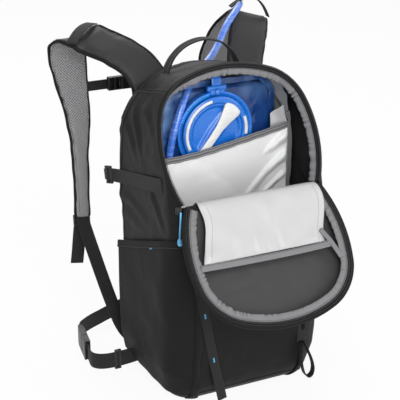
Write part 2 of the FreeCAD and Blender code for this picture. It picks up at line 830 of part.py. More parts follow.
RIGHT_STRAP = [
    (88.0, 96.3, 388.0, 56.0, 0.0),
    (90.0, 98.5, 412.0, 60.0, 0.05),
    (100.0, 113.0, 437.0, 62.0, 0.12),
    (114.0, 134.0, 455.0, 64.0, 0.2),
    (129.0, 158.0, 467.0, 65.0, 0.27),
    (139.0, 181.0, 471.0, 65.0, 0.3),
    (140.0, 203.0, 463.0, 65.0, 0.25),
    (130.0, 220.0, 444.0, 64.0, 0.15),
    (115.0, 229.0, 416.0, 60.0, 0.05),
    (105.0, 231.0, 384.0, 54.0, 0.0),
    (99.0, 227.0, 343.0, 46.0, 0.0),
    (96.0, 219.0, 303.0, 38.0, 0.0),
    (96.0, 208.0, 260.0, 31.0, 0.0),
    (98.0, 194.0, 204.0, 26.0, 0.0),
]
SPANS = 3
CREST = 5 * SPANS
STRAPS = {-1: smoothed(LEFT_STRAP, SPANS), 1: smoothed(RIGHT_STRAP, SPANS)}


def strap_frame(side, index):
    """Centre, across, along and outward directions of a strap at one station; side is -1 left, 1 right."""
    rows = STRAPS[side]
    points = [Vector(*row[:3]) for row in rows]
    along = (points[min(index + 1, len(points) - 1)] - points[max(index - 1, 0)]).normalize()
    across = Vector(1.0, 0, -side * rows[index][4])
    across = (across - along * across.dot(along)).normalize()
    return points[index], across, along, across.cross(along).normalize()


def strap_layer(side, lift, thick, trim, corner):
    stations = []
    for index, row in enumerate(STRAPS[side]):
        centre, across, _, out = strap_frame(side, index)
        stations.append((tuple(centre + out * lift), tuple(across), row[3] - trim, thick))
    return ribbon_shape(stations, corner)


def hose_keeper(side, rise):
    """A thin band arched over the strap's crest, sewn down at both edges."""
    centre, across, along, out = strap_frame(side, CREST)
    half = STRAPS[side][CREST][3] / 2 - 2.0
    stations = []
    for step in range(-6, 7):
        place = step / 6
        lift = number("pad_thick") / 2 + 0.9 + rise * (1 - place ** 2)
        stations.append((tuple(centre + across * (half * place) + out * lift), tuple(along), 18.0, 1.4))
    return ribbon_shape(stations)


def sleeve_lock(name, at, along, across, length, height, thick, slot):
    """A webbing adjuster drawn as a short rectangular sleeve that the webbing runs through."""
    along = Vector(*along).normalize()
    across = Vector(*across)
    across = (across - along * across.dot(along)).normalize()
    turn = Rotation(along, across, along.cross(across), "XYZ")
    place = Placement(Vector(*at), turn)
    outer = box(f"{name}_outer", (-length / 2, -height / 2, -thick / 2),
                (length / 2, height / 2, thick / 2), place)
    inner = box(f"{name}_slot", (-length, -height / 2 + 2.4, -slot / 2),
                (length, height / 2 - 2.4, slot / 2), place)
    return cut(name, outer, inner)


def mirrored(side, points):
    return [(-side * p[0], *p[1:]) for p in points]


def webbing(points, width, across, thick=None):
    thick = number("webbing_thick") if thick is None else thick
    return ribbon_shape([(point, across, width, thick) for point in smoothed(points, 3)])


WEB = number("webbing_width")
# The lower webbing of each side, from its lock on the strap's end down to the pack's lower corner, and its
# free tail; then the middle of its lock.
LOWER_WEBBING = {
    -1: (
        [(-139.0, 175.0, 196.0), (-138.0, 173.0, 184.0), (-133.0, 157.0, 152.0), (-122.0, 126.0, 90.0),
         (-114.0, 105.0, 52.0), (-109.0, 95.0, 37.0), (-104.0, 88.0, 29.0)],
        [(-139.5, 179.5, 192.0), (-140.5, 181.0, 180.0), (-142.0, 184.0, 156.0), (-143.5, 186.0, 134.0),
         (-146.0, 186.0, 114.0)],
        (-139.0, 177.4, 188.0),
    ),
    1: (
        [(98.0, 196.0, 208.0), (98.5, 194.0, 196.0), (101.0, 174.0, 160.0), (108.0, 132.0, 94.0),
         (112.0, 107.0, 53.0), (109.0, 95.0, 37.0), (104.0, 88.0, 29.0)],
        [(98.0, 200.5, 204.0), (98.0, 202.0, 192.0), (98.0, 205.0, 168.0), (99.0, 207.0, 146.0),
         (101.0, 207.0, 126.0)],
        (98.2, 198.4, 200.0),
    ),
}
PAD = number("pad_thick")
MESH = number("mesh_thick")
for side, word in ((-1, "left"), (1, "right")):
    pad_shape = strap_layer(side, 0.0, PAD, 0.0, 2.0)
    mesh_shape = strap_layer(side, -(PAD + MESH) / 2 - 0.6, MESH, 5.0, 0.0)
    run_route, tail_route, lock_at = LOWER_WEBBING[side]
    pad = feature(f"{word}_pad", pad_shape)
    node(f"{word}_shoulder_pad", cut(f"{word}_pad_trim", pad, outer_solid))
    node(f"{word}_strap_mesh", cut(f"{word}_mesh_trim", feature(f"{word}_mesh", mesh_shape), outer_solid))
    keeper = feature(f"{word}_keeper", hose_keeper(side, 22.0 if side > 0 else 7.0))
    node(f"{word}_hose_keeper", cut(f"{word}_keeper_trim", keeper, pad))
    run = feature(f"{word}_run", webbing(run_route, WEB, (1, 0.1 * side, 0)))
    tail = feature(f"{word}_tail", webbing(tail_route, WEB, (1, 0.1 * side, 0)))
    both = fuse(f"{word}_webbing_blank", run, tail)
    pocket = nodes[f"{word}_side_pocket"]
    node(f"{word}_lower_webbing", cut(f"{word}_webbing_trim", both, outer_solid, pocket, pad))
    node(f"{word}_strap_lock", cut(
        f"{word}_lock_trim",
        sleeve_lock(f"{word}_lock", lock_at, (0.0, 0.1, 1.0), (1, 0, 0), 18.0, WEB + 7.0, 14.0, 11.0),
        feature(f"{word}_lock_room", strap_layer(side, 0.0, PAD + 4.5, -2.0, 0.0)),
    ))

# ---------------------------------------------------------------- sternum strap and its buckle

STERNUM_Z, STERNUM_Y, STERNUM_WEB = 386.0, 199.0, 15.0


def buckle_plug(name, place, height, thick, depth):
    """The plug half: a hollow tail that its webbing slides in, two sprung prongs and a guide tongue."""
    tail = box(f"{name}_tail", (0.0, -height / 2, -thick / 2), (22.0, height / 2, thick / 2), place)
    channel = box(f"{name}_channel", (-1.0, -height / 2 + 1.8, -1.5), (20.0, height / 2 - 1.8, 1.5), place)
    prongs = [
        box(f"{name}_prong_{low:.0f}", (22.0, low, -thick / 2 + 2.0),
            (22.0 + depth, high, thick / 2 - 2.0), place)
        for low, high in ((-height / 2 + 3.0, -height / 2 + 6.0), (-1.5, 1.5),
                          (height / 2 - 6.0, height / 2 - 3.0))
    ]
    return fuse(name, cut(f"{name}_body", tail, channel), *prongs)


def buckle_socket(name, place, height, thick, depth):
    """The socket half, open towards the plug, with a slotted bar for its webbing at the far end."""
    length = depth + 17.0
    shell_box = box(f"{name}_shell", (22.3, -height / 2, -thick / 2),
                    (22.3 + length, height / 2, thick / 2), place)
    cavity = box(f"{name}_cavity", (20.0, -height / 2 + 2.2, -thick / 2 + 1.6),
                 (23.5 + depth, height / 2 - 2.2, thick / 2 - 1.6), place)
    slot = box(f"{name}_web_slot", (22.3 + length - 8.0, -height / 2 + 1.8, -1.3),
               (22.3 + length + 5.0, height / 2 - 1.8, 1.3), place)
    return cut(name, shell_box, cavity, slot)


# along the strap, up its width, and through its thickness
sternum_frame = Placement(Vector(-84.0, STERNUM_Y, STERNUM_Z), Rotation(X_AXIS, Z_AXIS, -Y_AXIS, "XYZ"))
node("sternum_buckle_plug", buckle_plug("sternum_plug", sternum_frame, 20.0, 8.0, 14.0))
node("sternum_buckle_socket", buckle_socket("sternum_socket", sternum_frame, 20.0, 8.0, 14.0))
sternum_left = webbing([(x, STERNUM_Y, STERNUM_Z) for x in (-125.0, -104.0, -82.0)], STERNUM_WEB, (0, 0, 1))
sternum_right = webbing(
    [(-36.5, STERNUM_Y, STERNUM_Z), (-29.0, STERNUM_Y, STERNUM_Z), (-20.0, STERNUM_Y, STERNUM_Z),
     (0.0, STERNUM_Y + 6.0, STERNUM_Z - 6.0), (32.0, STERNUM_Y + 15.0, STERNUM_Z - 9.0),
     (64.0, STERNUM_Y + 22.0, STERNUM_Z - 5.0), (90.0, STERNUM_Y + 25.0, STERNUM_Z)],
    STERNUM_WEB, (0, 0, 1))
for word, shape in (("left", sternum_left), ("right", sternum_right)):
    strap = feature(f"sternum_{word}", shape)
    node(f"sternum_webbing_{word}", cut(
        f"sternum_{word}_trim", strap, nodes[f"{word}_shoulder_pad"], nodes[f"{word}_strap_mesh"],
    ))

# ---------------------------------------------------------------- hip belt

BELT_WEB = 25.0
BELT_START = Vector(-169.5, 89.0, 16.2)
BELT_ALONG = Vector(0.173648, 0.984808, 0.0)


def on_belt(reach):
    """A point on the belt buckle's own line, a given distance from its plug's tail."""
    return tuple(BELT_START + BELT_ALONG * reach)


belt_left = [(-92.0, 56.0, 14.5), (-110.0, 51.5, 15.0), (-124.0, 49.0, 15.6), (-138.5, 47.8, 15.8),
             (-152.5, 48.4, 15.8), (-164.5, 51.8, 15.9), (-171.6, 58.4, 16.0),
             on_belt(-22.8), on_belt(-8.0), on_belt(0.8)]
belt_right = [on_belt(49.5), on_belt(55.0), on_belt(60.0), (-154.6, 157.0, 16.2), (-144.0, 165.5, 16.3),
              (-130.0, 173.5, 16.6), (-113.0, 181.0, 17.0), (-95.0, 189.0, 17.5), (-64.0, 201.0, 18.5),
              (-30.0, 206.0, 19.5), (0.0, 204.0, 20.0), (60.0, 190.0, 20.0), (102.0, 160.0, 18.0),
              (118.0, 125.0, 15.5), (114.0, 98.0, 13.5), (98.0, 82.0, 13.5)]
belt_frame = Placement(BELT_START, Rotation(BELT_ALONG, Z_AXIS, BELT_ALONG.cross(Z_AXIS), "XYZ"))
node("belt_buckle_plug", buckle_plug("belt_plug", belt_frame, 31.0, 9.0, 17.0))
node("belt_buckle_socket", buckle_socket("belt_socket", belt_frame, 31.0, 9.0, 17.0))
for word, route in (("left", belt_left), ("right", belt_right)):
    strap = feature(f"belt_{word}", webbing(route, BELT_WEB, (0, 0, 1)))
    node(f"belt_webbing_{word}", cut(f"belt_{word}_trim", strap, outer_solid, pocket_outer))
TRI_GLIDE_AT, TRI_GLIDE_ALONG = (-138.5, 47.8, 15.8), (-0.9985, -0.0211, 0.0)
node("belt_tri_glide",
     sleeve_lock("tri_glide", TRI_GLIDE_AT, TRI_GLIDE_ALONG, (0, 0, 1), 10.0, 31.0, 6.0, 3.4))

# ---------------------------------------------------------------- grab handle, side straps and front strips

span = number("handle_half_span")
rise = number("handle_rise")
handle = [(-span - 3.0, 58.0, 424.0), (-span, 58.0, 440.0), (-span + 10.0, 58.0, 458.0),
          (-span + 28.0, 58.0, 472.0), (0.0, 58.0, rise), (span - 28.0, 58.0, 472.0),
          (span - 10.0, 58.0, 458.0), (span, 58.0, 440.0), (span + 3.0, 58.0, 424.0)]
handle_loop = feature("handle_webbing", webbing(handle, WEB, (0, 1, 0), 2.0))
node("grab_handle", cut("handle_trim", handle_loop, outer_solid))

SIDE_STRAP = [(-129.0, 97.0, 286.0), (-124.5, 90.0, 287.0), (-120.6, 78.0, 289.0), (-119.4, 50.0, 296.0),
              (-119.2, 0.0, 307.5), (-119.0, -40.0, 317.0), (-117.5, -58.0, 321.0)]
for side, word in ((-1, "left"), (1, "right")):
    strap = feature(f"{word}_compression", webbing(mirrored(side, SIDE_STRAP), WEB, (0, 0, 1)))
    node(f"{word}_compression_strap", cut(f"{word}_compression_trim", strap, outer_solid))
    node(f"{word}_compression_lock", sleeve_lock(
        f"{word}_compression_buckle", (127.2 * side, 94.2, 286.4), (0.53 * side, 0.85, -0.12), (0, 0, 1),
        9.0, WEB + 6.0, 8.0, 4.4,
    ))

STRIP_WEB = 14.0
strip_left = [(-84.0, -105.2, 192.0), (-78.0, -106.4, 160.0), (-71.0, -106.6, 125.0), (-65.0, -106.0, 95.0),
              (-60.0, -105.4, 72.0), (-55.0, -106.0, 48.0), (-50.0, -106.5, 26.0), (-46.0, -106.5, 8.0)]
strip_right = [(79.5, -106.4, 160.0), (79.0, -106.6, 125.0), (78.5, -106.0, 95.0), (78.0, -105.4, 70.0)]
for word, route in (("left", strip_left), ("right", strip_right)):
    strip = feature(f"strip_{word}", webbing(route, STRIP_WEB, (1, 0, 0), 1.4))
    node(f"{word}_gear_strip", cut(f"strip_{word}_trim", strip, outer_solid, nodes[f"{word}_side_pocket"]))
loop_route = [(77.0, 69.0), (76.0, 56.0), (77.5, 40.0), (82.0, 24.0), (89.0, 12.0), (97.0, 8.0),
              (103.0, 14.0), (103.5, 26.0), (98.0, 40.0), (90.0, 54.0), (81.5, 69.0)]
gear_loop = webbing([(x, -110.6, z) for x, z in loop_route], 10.0, (0, 1, 0), 1.4)
gear_loop_blank = feature("gear_loop_blank", gear_loop)
node("gear_loop", cut("gear_loop_trim", gear_loop_blank, nodes["right_gear_strip"], outer_solid))

# ---------------------------------------------------------------- foam pads on the back

for side, word in ((-1, "left"), (1, "right")):
    loops = [rounded(38.0, 130.0, 18.0)]
    place = turned(90, at=Vector(46.0 * side, 99.0, 196.0))
    pad = plate(f"{word}_foam", loops, 10.0, place)
    node(f"{word}_back_pad", cut(f"{word}_foam_trim", pad, outer_solid))

# ---------------------------------------------------------------- zip slider and pull

slider_block = box("slider_block", (-112.8, -101.0, 294.0), (-105.6, -94.6, 304.0))
slider_bridge = box("slider_gap", (-113.6, -99.9, 297.0), (-104.6, -97.6, 301.5))
node("zip_slider", cut("slider", slider_block, slider_bridge, outer_solid))
PULL_ROUTE = [(-109.2, -103.6, 299.0), (-109.4, -103.9, 290.0), (-109.8, -103.8, 281.0),
              (-110.4, -103.6, 271.0), (-110.6, -103.6, 261.0)]
pull_cord = feature("pull_cord", tube_shape(PULL_ROUTE, 2.4, "zip_pull_cord"))
node("zip_pull_cord", cut("pull_cord_trim", pull_cord, nodes["zip_slider"]))
knot = cylinder("pull_knot_barrel", 3.4, 9.0, (-110.6, -103.6, 260.6), (0.1, 0, -1))
node("zip_pull_knot", knot)

# ---------------------------------------------------------------- checks and files

doc.recompute()
for thing in doc.Objects:
    if "Invalid" in thing.State or "Error" in thing.State:
        raise RuntimeError(f"{thing.Name} did not build: {thing.State}")
os.makedirs("parts", exist_ok=True)
for name, thing in nodes.items():
    shape = thing.Shape
    if shape.isNull() or not shape.isValid() or not shape.Solids:
        raise RuntimeError(f"{name} has no valid solid")
    shape.exportStep(f"parts/{name}.step")
    print(f"{name}: {len(shape.Solids)} solids, {shape.Volume / 1000:.1f} cm3")
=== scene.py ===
"""Hydration day pack with its lid hanging open: its looks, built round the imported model.

Places and lengths are in millimetres; settings, materials, cords and finished meshes are in metres.
+Z is up, the opening and lid face -Y, and the back panel and shoulder straps are on +Y.
"""

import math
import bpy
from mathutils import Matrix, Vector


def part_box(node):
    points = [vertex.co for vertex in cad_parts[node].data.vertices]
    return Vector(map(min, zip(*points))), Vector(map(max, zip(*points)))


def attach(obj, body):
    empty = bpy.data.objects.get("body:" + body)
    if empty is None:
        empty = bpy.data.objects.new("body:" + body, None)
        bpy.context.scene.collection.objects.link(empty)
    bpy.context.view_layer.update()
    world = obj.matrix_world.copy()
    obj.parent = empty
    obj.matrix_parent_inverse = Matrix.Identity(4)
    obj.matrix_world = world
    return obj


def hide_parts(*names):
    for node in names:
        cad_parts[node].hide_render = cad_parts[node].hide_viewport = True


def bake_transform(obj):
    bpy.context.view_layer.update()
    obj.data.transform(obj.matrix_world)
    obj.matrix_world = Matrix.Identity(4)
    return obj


bl_info = {
    "name": "Hydration Pack",
    "version": (1, 0, 0),
    "blender": (4, 5, 0),
    "location": "View3D > Sidebar > Pack",
    "description": "Builds an open hydration day pack with its reservoir, hose, straps and buckles",
    "category": "Add Mesh",
}

import bmesh
import bpy
import numpy as np
from bpy.props import FloatProperty, FloatVectorProperty, PointerProperty
from mathutils import Quaternion, Vector, noise
from mathutils.bvhtree import BVHTree

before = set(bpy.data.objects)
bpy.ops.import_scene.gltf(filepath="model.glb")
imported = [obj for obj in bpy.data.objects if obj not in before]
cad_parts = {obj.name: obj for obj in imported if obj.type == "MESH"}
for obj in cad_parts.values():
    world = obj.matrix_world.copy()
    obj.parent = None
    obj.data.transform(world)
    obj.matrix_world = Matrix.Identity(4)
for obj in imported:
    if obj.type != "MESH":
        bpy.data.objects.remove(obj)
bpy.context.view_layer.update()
MM = 0.001
SAME_SPOT = 1e-6
CRISP_ANGLE = 38.0
FLOAT = "NodeSocketFloat"

# ---- places and routes, as in the part's source

RIM_AT = np.array((0, -95, 304))
RIM_UP = np.array((0, 0.4718, 0.8817))
RIM_OUT = np.array((0, -0.8817, 0.4718))
HINGE = np.array((0, -97.116, 305.132))
LID_DOWN = np.array((0, -0.6157, -0.788))
LID_FACE = np.array((0, -0.788, 0.6157))
ACROSS = np.array((1, 0, 0))
COLLAR_HEIGHT = 357.0

HOSE_ROUTE = [
    (-46, 15.5, 116), (-46, 15.5, 168), (-60, 15, 226), (-71, 14.5, 284),
    (-71, 13.5, 336), (-60, 11, 383), (-38, 25, 416), (-12, 56, 431.5),
    (22, 95, 427), (54, 118, 443), (78, 134, 473.5), (106, 156, 487),
    (130, 187, 490), (140, 217, 477), (136, 241, 451), (124, 252, 413),
    (113, 250, 372), (105, 243, 332), (101, 234, 294),
]
PULL_ROUTE = [
    (-109.2, -103.6, 299), (-109.4, -103.9, 290), (-109.8, -103.8, 281), (-110.4, -103.6, 271),
    (-110.6, -103.6, 261),
]
# Each shoulder strap's centre line from its root over the crest: x, y, z, width, slope of its inner edge.
LEFT_STRAP = [
    (-60, 96.3, 388, 56, 0), (-61, 98.5, 412, 60, 0.05), (-71, 112, 434, 61, 0.14),
    (-90, 133, 451, 62, 0.2), (-112, 158, 462, 62, 0.26), (-129, 177, 467, 63, 0.27),
    (-140, 196, 460, 64, 0.17), (-142.5, 206.5, 438, 63, 0.06), (-138.5, 205, 396, 56, 0),
    (-134.5, 198, 354, 46, 0), (-134.5, 190.5, 318, 38, 0), (-136, 185, 282, 32, 0),
    (-136.5, 179, 236, 28, 0), (-138.5, 173, 192, 25, 0),
]
RIGHT_STRAP = [
    (88, 96.3, 388, 56, 0), (90, 98.5, 412, 60, 0.05), (100, 113, 437, 62, 0.12),
    (114, 134, 455, 64, 0.2), (129, 158, 467, 65, 0.27), (139, 181, 471, 65, 0.3),
    (140, 203, 463, 65, 0.25), (130, 220, 444, 64, 0.15), (115, 229, 416, 60, 0.05),
    (105, 231, 384, 54, 0), (99, 227, 343, 46, 0), (96, 219, 303, 38, 0),
    (96, 208, 260, 31, 0), (98, 194, 204, 26, 0),
]
STRAPS = {-1: LEFT_STRAP, 1: RIGHT_STRAP}
SIDES = ((-1, "left"), (1, "right"))
# Lower webbing of each side, its free tail, and the middle of its lock.
LOWER_WEBBING = {
    -1: (
        [(-139, 175, 196), (-138, 173, 184), (-133, 157, 152), (-122, 126, 90),
         (-114, 105, 52), (-109, 95, 37), (-104, 88, 29)],
        [(-139.5, 179.5, 192), (-140.5, 181, 180), (-142, 184, 156), (-143.5, 186, 134),
         (-146, 186, 114)],
        (-139, 177.4, 188),
    ),
    1: (
        [(98, 196, 208), (98.5, 194, 196), (101, 174, 160), (108, 132, 94),
         (112, 107, 53), (109, 95, 37), (104, 88, 29)],
        [(98, 200.5, 204), (98, 202, 192), (98, 205, 168), (99, 207, 146),
         (101, 207, 126)],
        (98.2, 198.4, 200),
    ),
}
STERNUM = (199, 386)
STERNUM_LEFT = [(-125, 199, 386), (-104, 199, 386), (-82, 199, 386)]
STERNUM_RIGHT = [(-36.5, 199, 386), (-29, 199, 386), (-20, 199, 386), (0, 205, 380),
                 (32, 214, 377), (64, 221, 381), (90, 224, 386)]
BELT_START, BELT_ALONG = np.array((-169.5, 89, 16.2)), np.array((0.173648, 0.984808, 0))


def on_belt(reach):
    """A point on the belt buckle's own line, a given distance from its plug's tail."""
    return tuple(BELT_START + BELT_ALONG * reach)


BELT_LEFT = [(-92, 56, 14.5), (-110, 51.5, 15), (-124, 49, 15.6), (-138.5, 47.8, 15.8),
             (-152.5, 48.4, 15.8), (-164.5, 51.8, 15.9), (-171.6, 58.4, 16),
             on_belt(-22.8), on_belt(-8.0), on_belt(0.8)]
BELT_RIGHT = [on_belt(49.5), on_belt(55), on_belt(60), (-154.6, 157, 16.2), (-144, 165.5, 16.3),
              (-130, 173.5, 16.6), (-113, 181, 17), (-95, 189, 17.5), (-64, 201, 18.5),
              (-30, 206, 19.5), (0, 204, 20), (60, 190, 20), (102, 160, 18),
              (118, 125, 15.5), (114, 98, 13.5), (98, 82, 13.5)]
HANDLE = [(-57, 58, 424), (-54, 58, 440), (-44, 58, 458), (-26, 58, 472),
          (0, 58, 478), (26, 58, 472), (44, 58, 458), (54, 58, 440), (57, 58, 424)]
SIDE_STRAP = [(129, 97, 286), (124.5, 90, 287), (120.6, 78, 289), (119.4, 50, 296),
              (119.2, 0, 307.5), (119, -40, 317), (116.6, -63, 322.2)]
LEFT_STRIP = [(-84, -105.2, 192), (-78, -106.4, 160), (-71, -106.6, 125), (-65, -106, 95),
              (-60, -105.4, 72), (-55, -106, 48), (-50, -106.5, 26), (-46, -106.5, 8)]
RIGHT_STRIP = [(79.5, -106.4, 160), (79, -106.6, 125), (78.5, -106, 95), (78, -105.4, 70)]
GEAR_LOOP = [(77, 69), (76, 57), (76.6, 43), (79.4, 29), (84, 17.5), (90, 12.5), (95.6, 16.5),
             (97, 27), (93.4, 41), (87.4, 55), (80.8, 69)]
# Side pocket sections: height, half width, front face, front corner radius.
POCKET_SECTIONS = np.array([
    (0, 96, 69, 28), (14, 113, 89, 38), (50, 119.5, 99.5, 42), (120, 121, 104.5, 42),
    (200, 121, 103, 40), (300, 121, 99, 36),
])
# Soft folds hanging on each side: where each starts and ends (y, z), its width and its height.
DRAPES = (
    (((62, 402), (-6, 330)), 6.5, 2.6), (((80, 372), (8, 322)), 7, 2.2),
    (((30, 408), (-36, 372)), 6, 2), (((84, 262), (-60, 252)), 7.5, 2),
    (((80, 232), (-40, 238)), 8, 1.6), (((-20, 300), (-78, 246)), 6, 1.8),
)
PANELS = ("base_panel", "back_panel", "top_panel", "front_panel", "left_side_panel", "right_side_panel")
SHELL_VOXEL = 3.4
# The depth at which the bag's lining changes from dark, in front, to pale, behind.
LINING_SPLIT = 6.0
# A place on each seam's plane, and the way that the plane faces.
BAG_SEAMS = (((-86, 0, 0), (-1, 0, 0)), ((86, 0, 0), (1, 0, 0)),
             ((0, 72, 0), (0, 1, 0)), ((0, 0, 17), (0, 0, 1)))
POCKET_BACK, POCKET_FOOT, POCKET_GIRTH = 80, 3, 220.0
WEBBING_THICK = 1.6
# How far the cap's handle bar is turned from upright, in degrees.
BAR_TURN = 38.0
# Steps between two given places of a shoulder strap, and frames that a pad's cloth swells for.
STRAP_SPANS, SWELL_FRAMES = 6, 20
# The sleeve's hem: places across the bag and its height at each.
SLEEVE_HEM = ((-115, -90, -60, -35, -10, 15, 40, 65, 90, 115),
              (332.5, 332.2, 333, 335, 338.2, 342.2, 346.6, 351, 355.4, 360.5))
stitch_lines = {}
trees = {}


# ---- settings


def length_property(label, note, value, low, high):
    """A length in metres that the user may change."""
    return FloatProperty(name=label, description=note, default=value, min=low, max=high, unit="LENGTH")


class PackSizes(bpy.types.PropertyGroup):
    """Sizes of the fabric and trim that a user may want to change"""

    webbing_width: length_property("Webbing width", "Width of the lower and side webbing", 0.02, 0.01, 0.04)
    hose_diameter: length_property("Hose diameter", "Outside diameter of the hose", 0.010, 0.006, 0.014)
    fold_depth: length_property("Fold depth", "Height of the folds in the bag's fabric", 0.0016, 0.0, 0.005)
    stitch_spacing: length_property("Stitch spacing", "From one stitch to the next", 0.0032, 0.001, 0.01)
    pad_swell: length_property("Pad swell", "Most that a padded piece may swell", 0.0025, 0.0, 0.01)


def colour_property(label, note, value):
    """A colour that the user may change."""
    return FloatVectorProperty(
        name=label, description=note, subtype="COLOR", size=3, min=0.0, max=1.0, default=value)


class PackColours(bpy.types.PropertyGroup):
    """Colours of the fabrics, webbing, plastics and film"""

    nylon: colour_property("Nylon", "Woven nylon of the bag's panels", (0.0085, 0.0085, 0.009))
    stretch: colour_property("Stretch fabric", "Knitted fabric of the side pockets", (0.0072, 0.0072, 0.0076))
    lining: colour_property("Silver lining", "Fabric of the sleeve and lid pocket", (0.47, 0.47, 0.473))
    wall_lining: colour_property("Wall lining", "Lining of the back wall", (0.42, 0.42, 0.425))
    lid_lining: colour_property("Lid lining", "Lining inside the lid", (0.045, 0.045, 0.046))
    binding: colour_property("Binding", "Gathered tape round the opening and lid", (0.165, 0.165, 0.172))
    mesh: colour_property("Air mesh", "Spacer mesh on the straps and back pads", (0.23, 0.23, 0.235))
    webbing: colour_property("Webbing", "Woven webbing and strips", (0.010, 0.010, 0.0105))
    plastic: colour_property("Plastic", "Moulded buckles and adjusters", (0.007, 0.007, 0.0075))
    film: colour_property("Reservoir film", "Welded film of the reservoir", (0.007, 0.038, 0.16))
    cap: colour_property("Cap", "Moulded cap, collar and clip", (0.010, 0.145, 0.57))
    grip: colour_property("Grip", "Moulded handle bar and valve", (0.70, 0.70, 0.70))
    hose: colour_property("Hose", "Drinking hose", (0.030, 0.15, 0.66))
    accent: colour_property("Accent", "Pull cord and bar tacks", (0.12, 0.43, 0.74))


def sizes():
    """The sizes set in the sidebar."""
    return bpy.context.scene.hydration_pack_sizes


def colours():
    """The colours set in the sidebar."""
    return bpy.context.scene.hydration_pack_colours


# ---- mesh helpers


def piece(name, points, faces, uv=None):
    """A mesh object from points in millimetres; uv holds one pair of millimetres for each point."""
    mesh = bpy.data.meshes.new(name)
    mesh.from_pydata((np.asarray(points, float) * MM).tolist(), [], [tuple(f) for f in faces])
    if uv is not None:
        layer = mesh.uv_layers.new(name="lay")
        corners = np.empty(len(mesh.loops), int)
        mesh.loops.foreach_get("vertex_index", corners)
        layer.data.foreach_set("uv", (np.asarray(uv, float)[corners] * MM).ravel())
    mesh.polygons.foreach_set("use_smooth", [True] * len(mesh.polygons))
    mesh.update()
    obj = bpy.data.objects.new(name, mesh)
    bpy.context.scene.collection.objects.link(obj)
    return obj


def coordinates(obj):
    """A piece's points, in millimetres."""
    points = np.empty(len(obj.data.vertices) * 3)
    obj.data.vertices.foreach_get("co", points)
    return points.reshape(-1, 3) / MM


def normals(obj):
    """The outward direction at each of a piece's points."""
    directions = np.empty(len(obj.data.vertices) * 3)
    obj.data.vertex_normals.foreach_get("vector", directions)
    return directions.reshape(-1, 3)


def set_coordinates(obj, points):
    """Moves a piece's points to places in millimetres."""
    obj.data.vertices.foreach_set("co", (points * MM).ravel())
    obj.data.update()


def modifier(obj, kind, **settings):
    """Adds a modifier with its settings."""
    added = obj.modifiers.new(kind.title(), kind)
    for key, value in settings.items():
        setattr(added, key, value)
    return added


def settle(obj):
    """Applies every modifier on a piece."""
    graph = bpy.context.evaluated_depsgraph_get()
    graph.update()
    mesh = bpy.data.meshes.new_from_object(obj.evaluated_get(graph), depsgraph=graph)
    obj.modifiers.clear()
    obj.data = mesh
    mesh.polygons.foreach_set("use_smooth", [True] * len(mesh.polygons))
    return obj


def edit(obj, change):
    """Changes a piece's mesh through bmesh."""
    bm = bmesh.new()
    bm.from_mesh(obj.data)
    change(bm)
    bm.to_mesh(obj.data)
    bm.free()
    obj.data.update()
    return obj


def sharpen(obj):
    """Keeps the edges of a moulded piece crisp."""
    return edit(obj, lambda bm: [
        setattr(edge, "smooth", edge.calc_face_angle(0.0) < math.radians(CRISP_ANGLE)) for edge in bm.edges
    ])


def outward(obj):
    """Turns every face of a closed piece outwards."""
    return edit(obj, lambda bm: bmesh.ops.recalc_face_normals(bm, faces=bm.faces))


def merged(obj):
    """Joins a piece's points that lie on one spot."""
    return edit(obj, lambda bm: bmesh.ops.remove_doubles(bm, verts=bm.verts, dist=SAME_SPOT))


def thickened(obj, thick):
    """Gives a sheet its thickness, half to each side."""
    modifier(obj, "SOLIDIFY", thickness=thick * MM, offset=0.0)
    return outward(settle(obj))


def joined(name, objects):
    """One piece out of several, keeping their materials and UV maps."""
    bpy.ops.object.select_all(action="DESELECT")
    for obj in objects:
        obj.select_set(True)
    bpy.context.view_layer.objects.active = objects[0]
    bpy.ops.object.join()
    objects[0].name = name
    return objects[0]


def grid_faces(rows, columns, closed=False):
    """Quads between rows of points; closed joins each row's last point to its first."""
    faces = []
    for row in range(rows - 1):
        here, there = row * columns, (row + 1) * columns
        for c in range(columns if closed else columns - 1):
            onward = (c + 1) % columns
            faces.append((here + c, here + onward, there + onward, there + c))
    return faces


def tube_faces(rows, columns):
    """The faces of a tube: quads between its rows, and one face over each end."""
    ends = [tuple(range(columns)), tuple(range((rows - 1) * columns, rows * columns))]
    return grid_faces(rows, columns, closed=True) + ends


def smoothed(rows, spans):
    """Rows of numbers carried on a smooth curve through the given ones."""
    rows = np.asarray(rows, float)
    fine = []
    for index in range(len(rows) - 1):
        a, b, c, d = (rows[min(max(index + offset, 0), len(rows) - 1)] for offset in (-1, 0, 1, 2))
        bend, twist = 2 * a - 5 * b + 4 * c - d, 3 * b - 3 * c + d - a
        for step in range(spans):
            t = step / spans
            fine.append(b + 0.5 * t * (c - a + t * (bend + t * twist)))
    return np.array([*fine, rows[-1]])


def distances(points):
    """How far along a line each of its points lies."""
    return np.concatenate([[0.0], np.cumsum(np.linalg.norm(np.diff(points, axis=0), axis=1))])


def laid_flat(run, across):
    """UV places for a grid: along the line for each row, and across it for each column."""
    return np.stack([np.repeat(run, len(across)), np.tile(across, len(run))], axis=1)


def ramp(value, length):
    """0 at nothing, rising evenly to 1 at a length, and staying there."""
    return np.clip(value / length, 0.0, 1.0)


def uneven(x, y, z):
    """A height that wanders smoothly between about -1 and 1 from place to place."""
    return noise.noise(Vector((x, y, z)))


def evenly(points, spacing=None, count=None):
    """A polyline divided into equal steps."""
    points = np.asarray(points, float)
    reach = distances(points)
    count = count or max(2, int(round(reach[-1] / spacing)) + 1)
    marks = np.linspace(0.0, reach[-1], count)
    return np.stack([np.interp(marks, reach, points[:, k]) for k in range(points.shape[1])], axis=1)


def unit(vectors):
    """Directions of length 1."""
    vectors = np.asarray(vectors, float)
    return vectors / np.linalg.norm(vectors, axis=-1, keepdims=True)


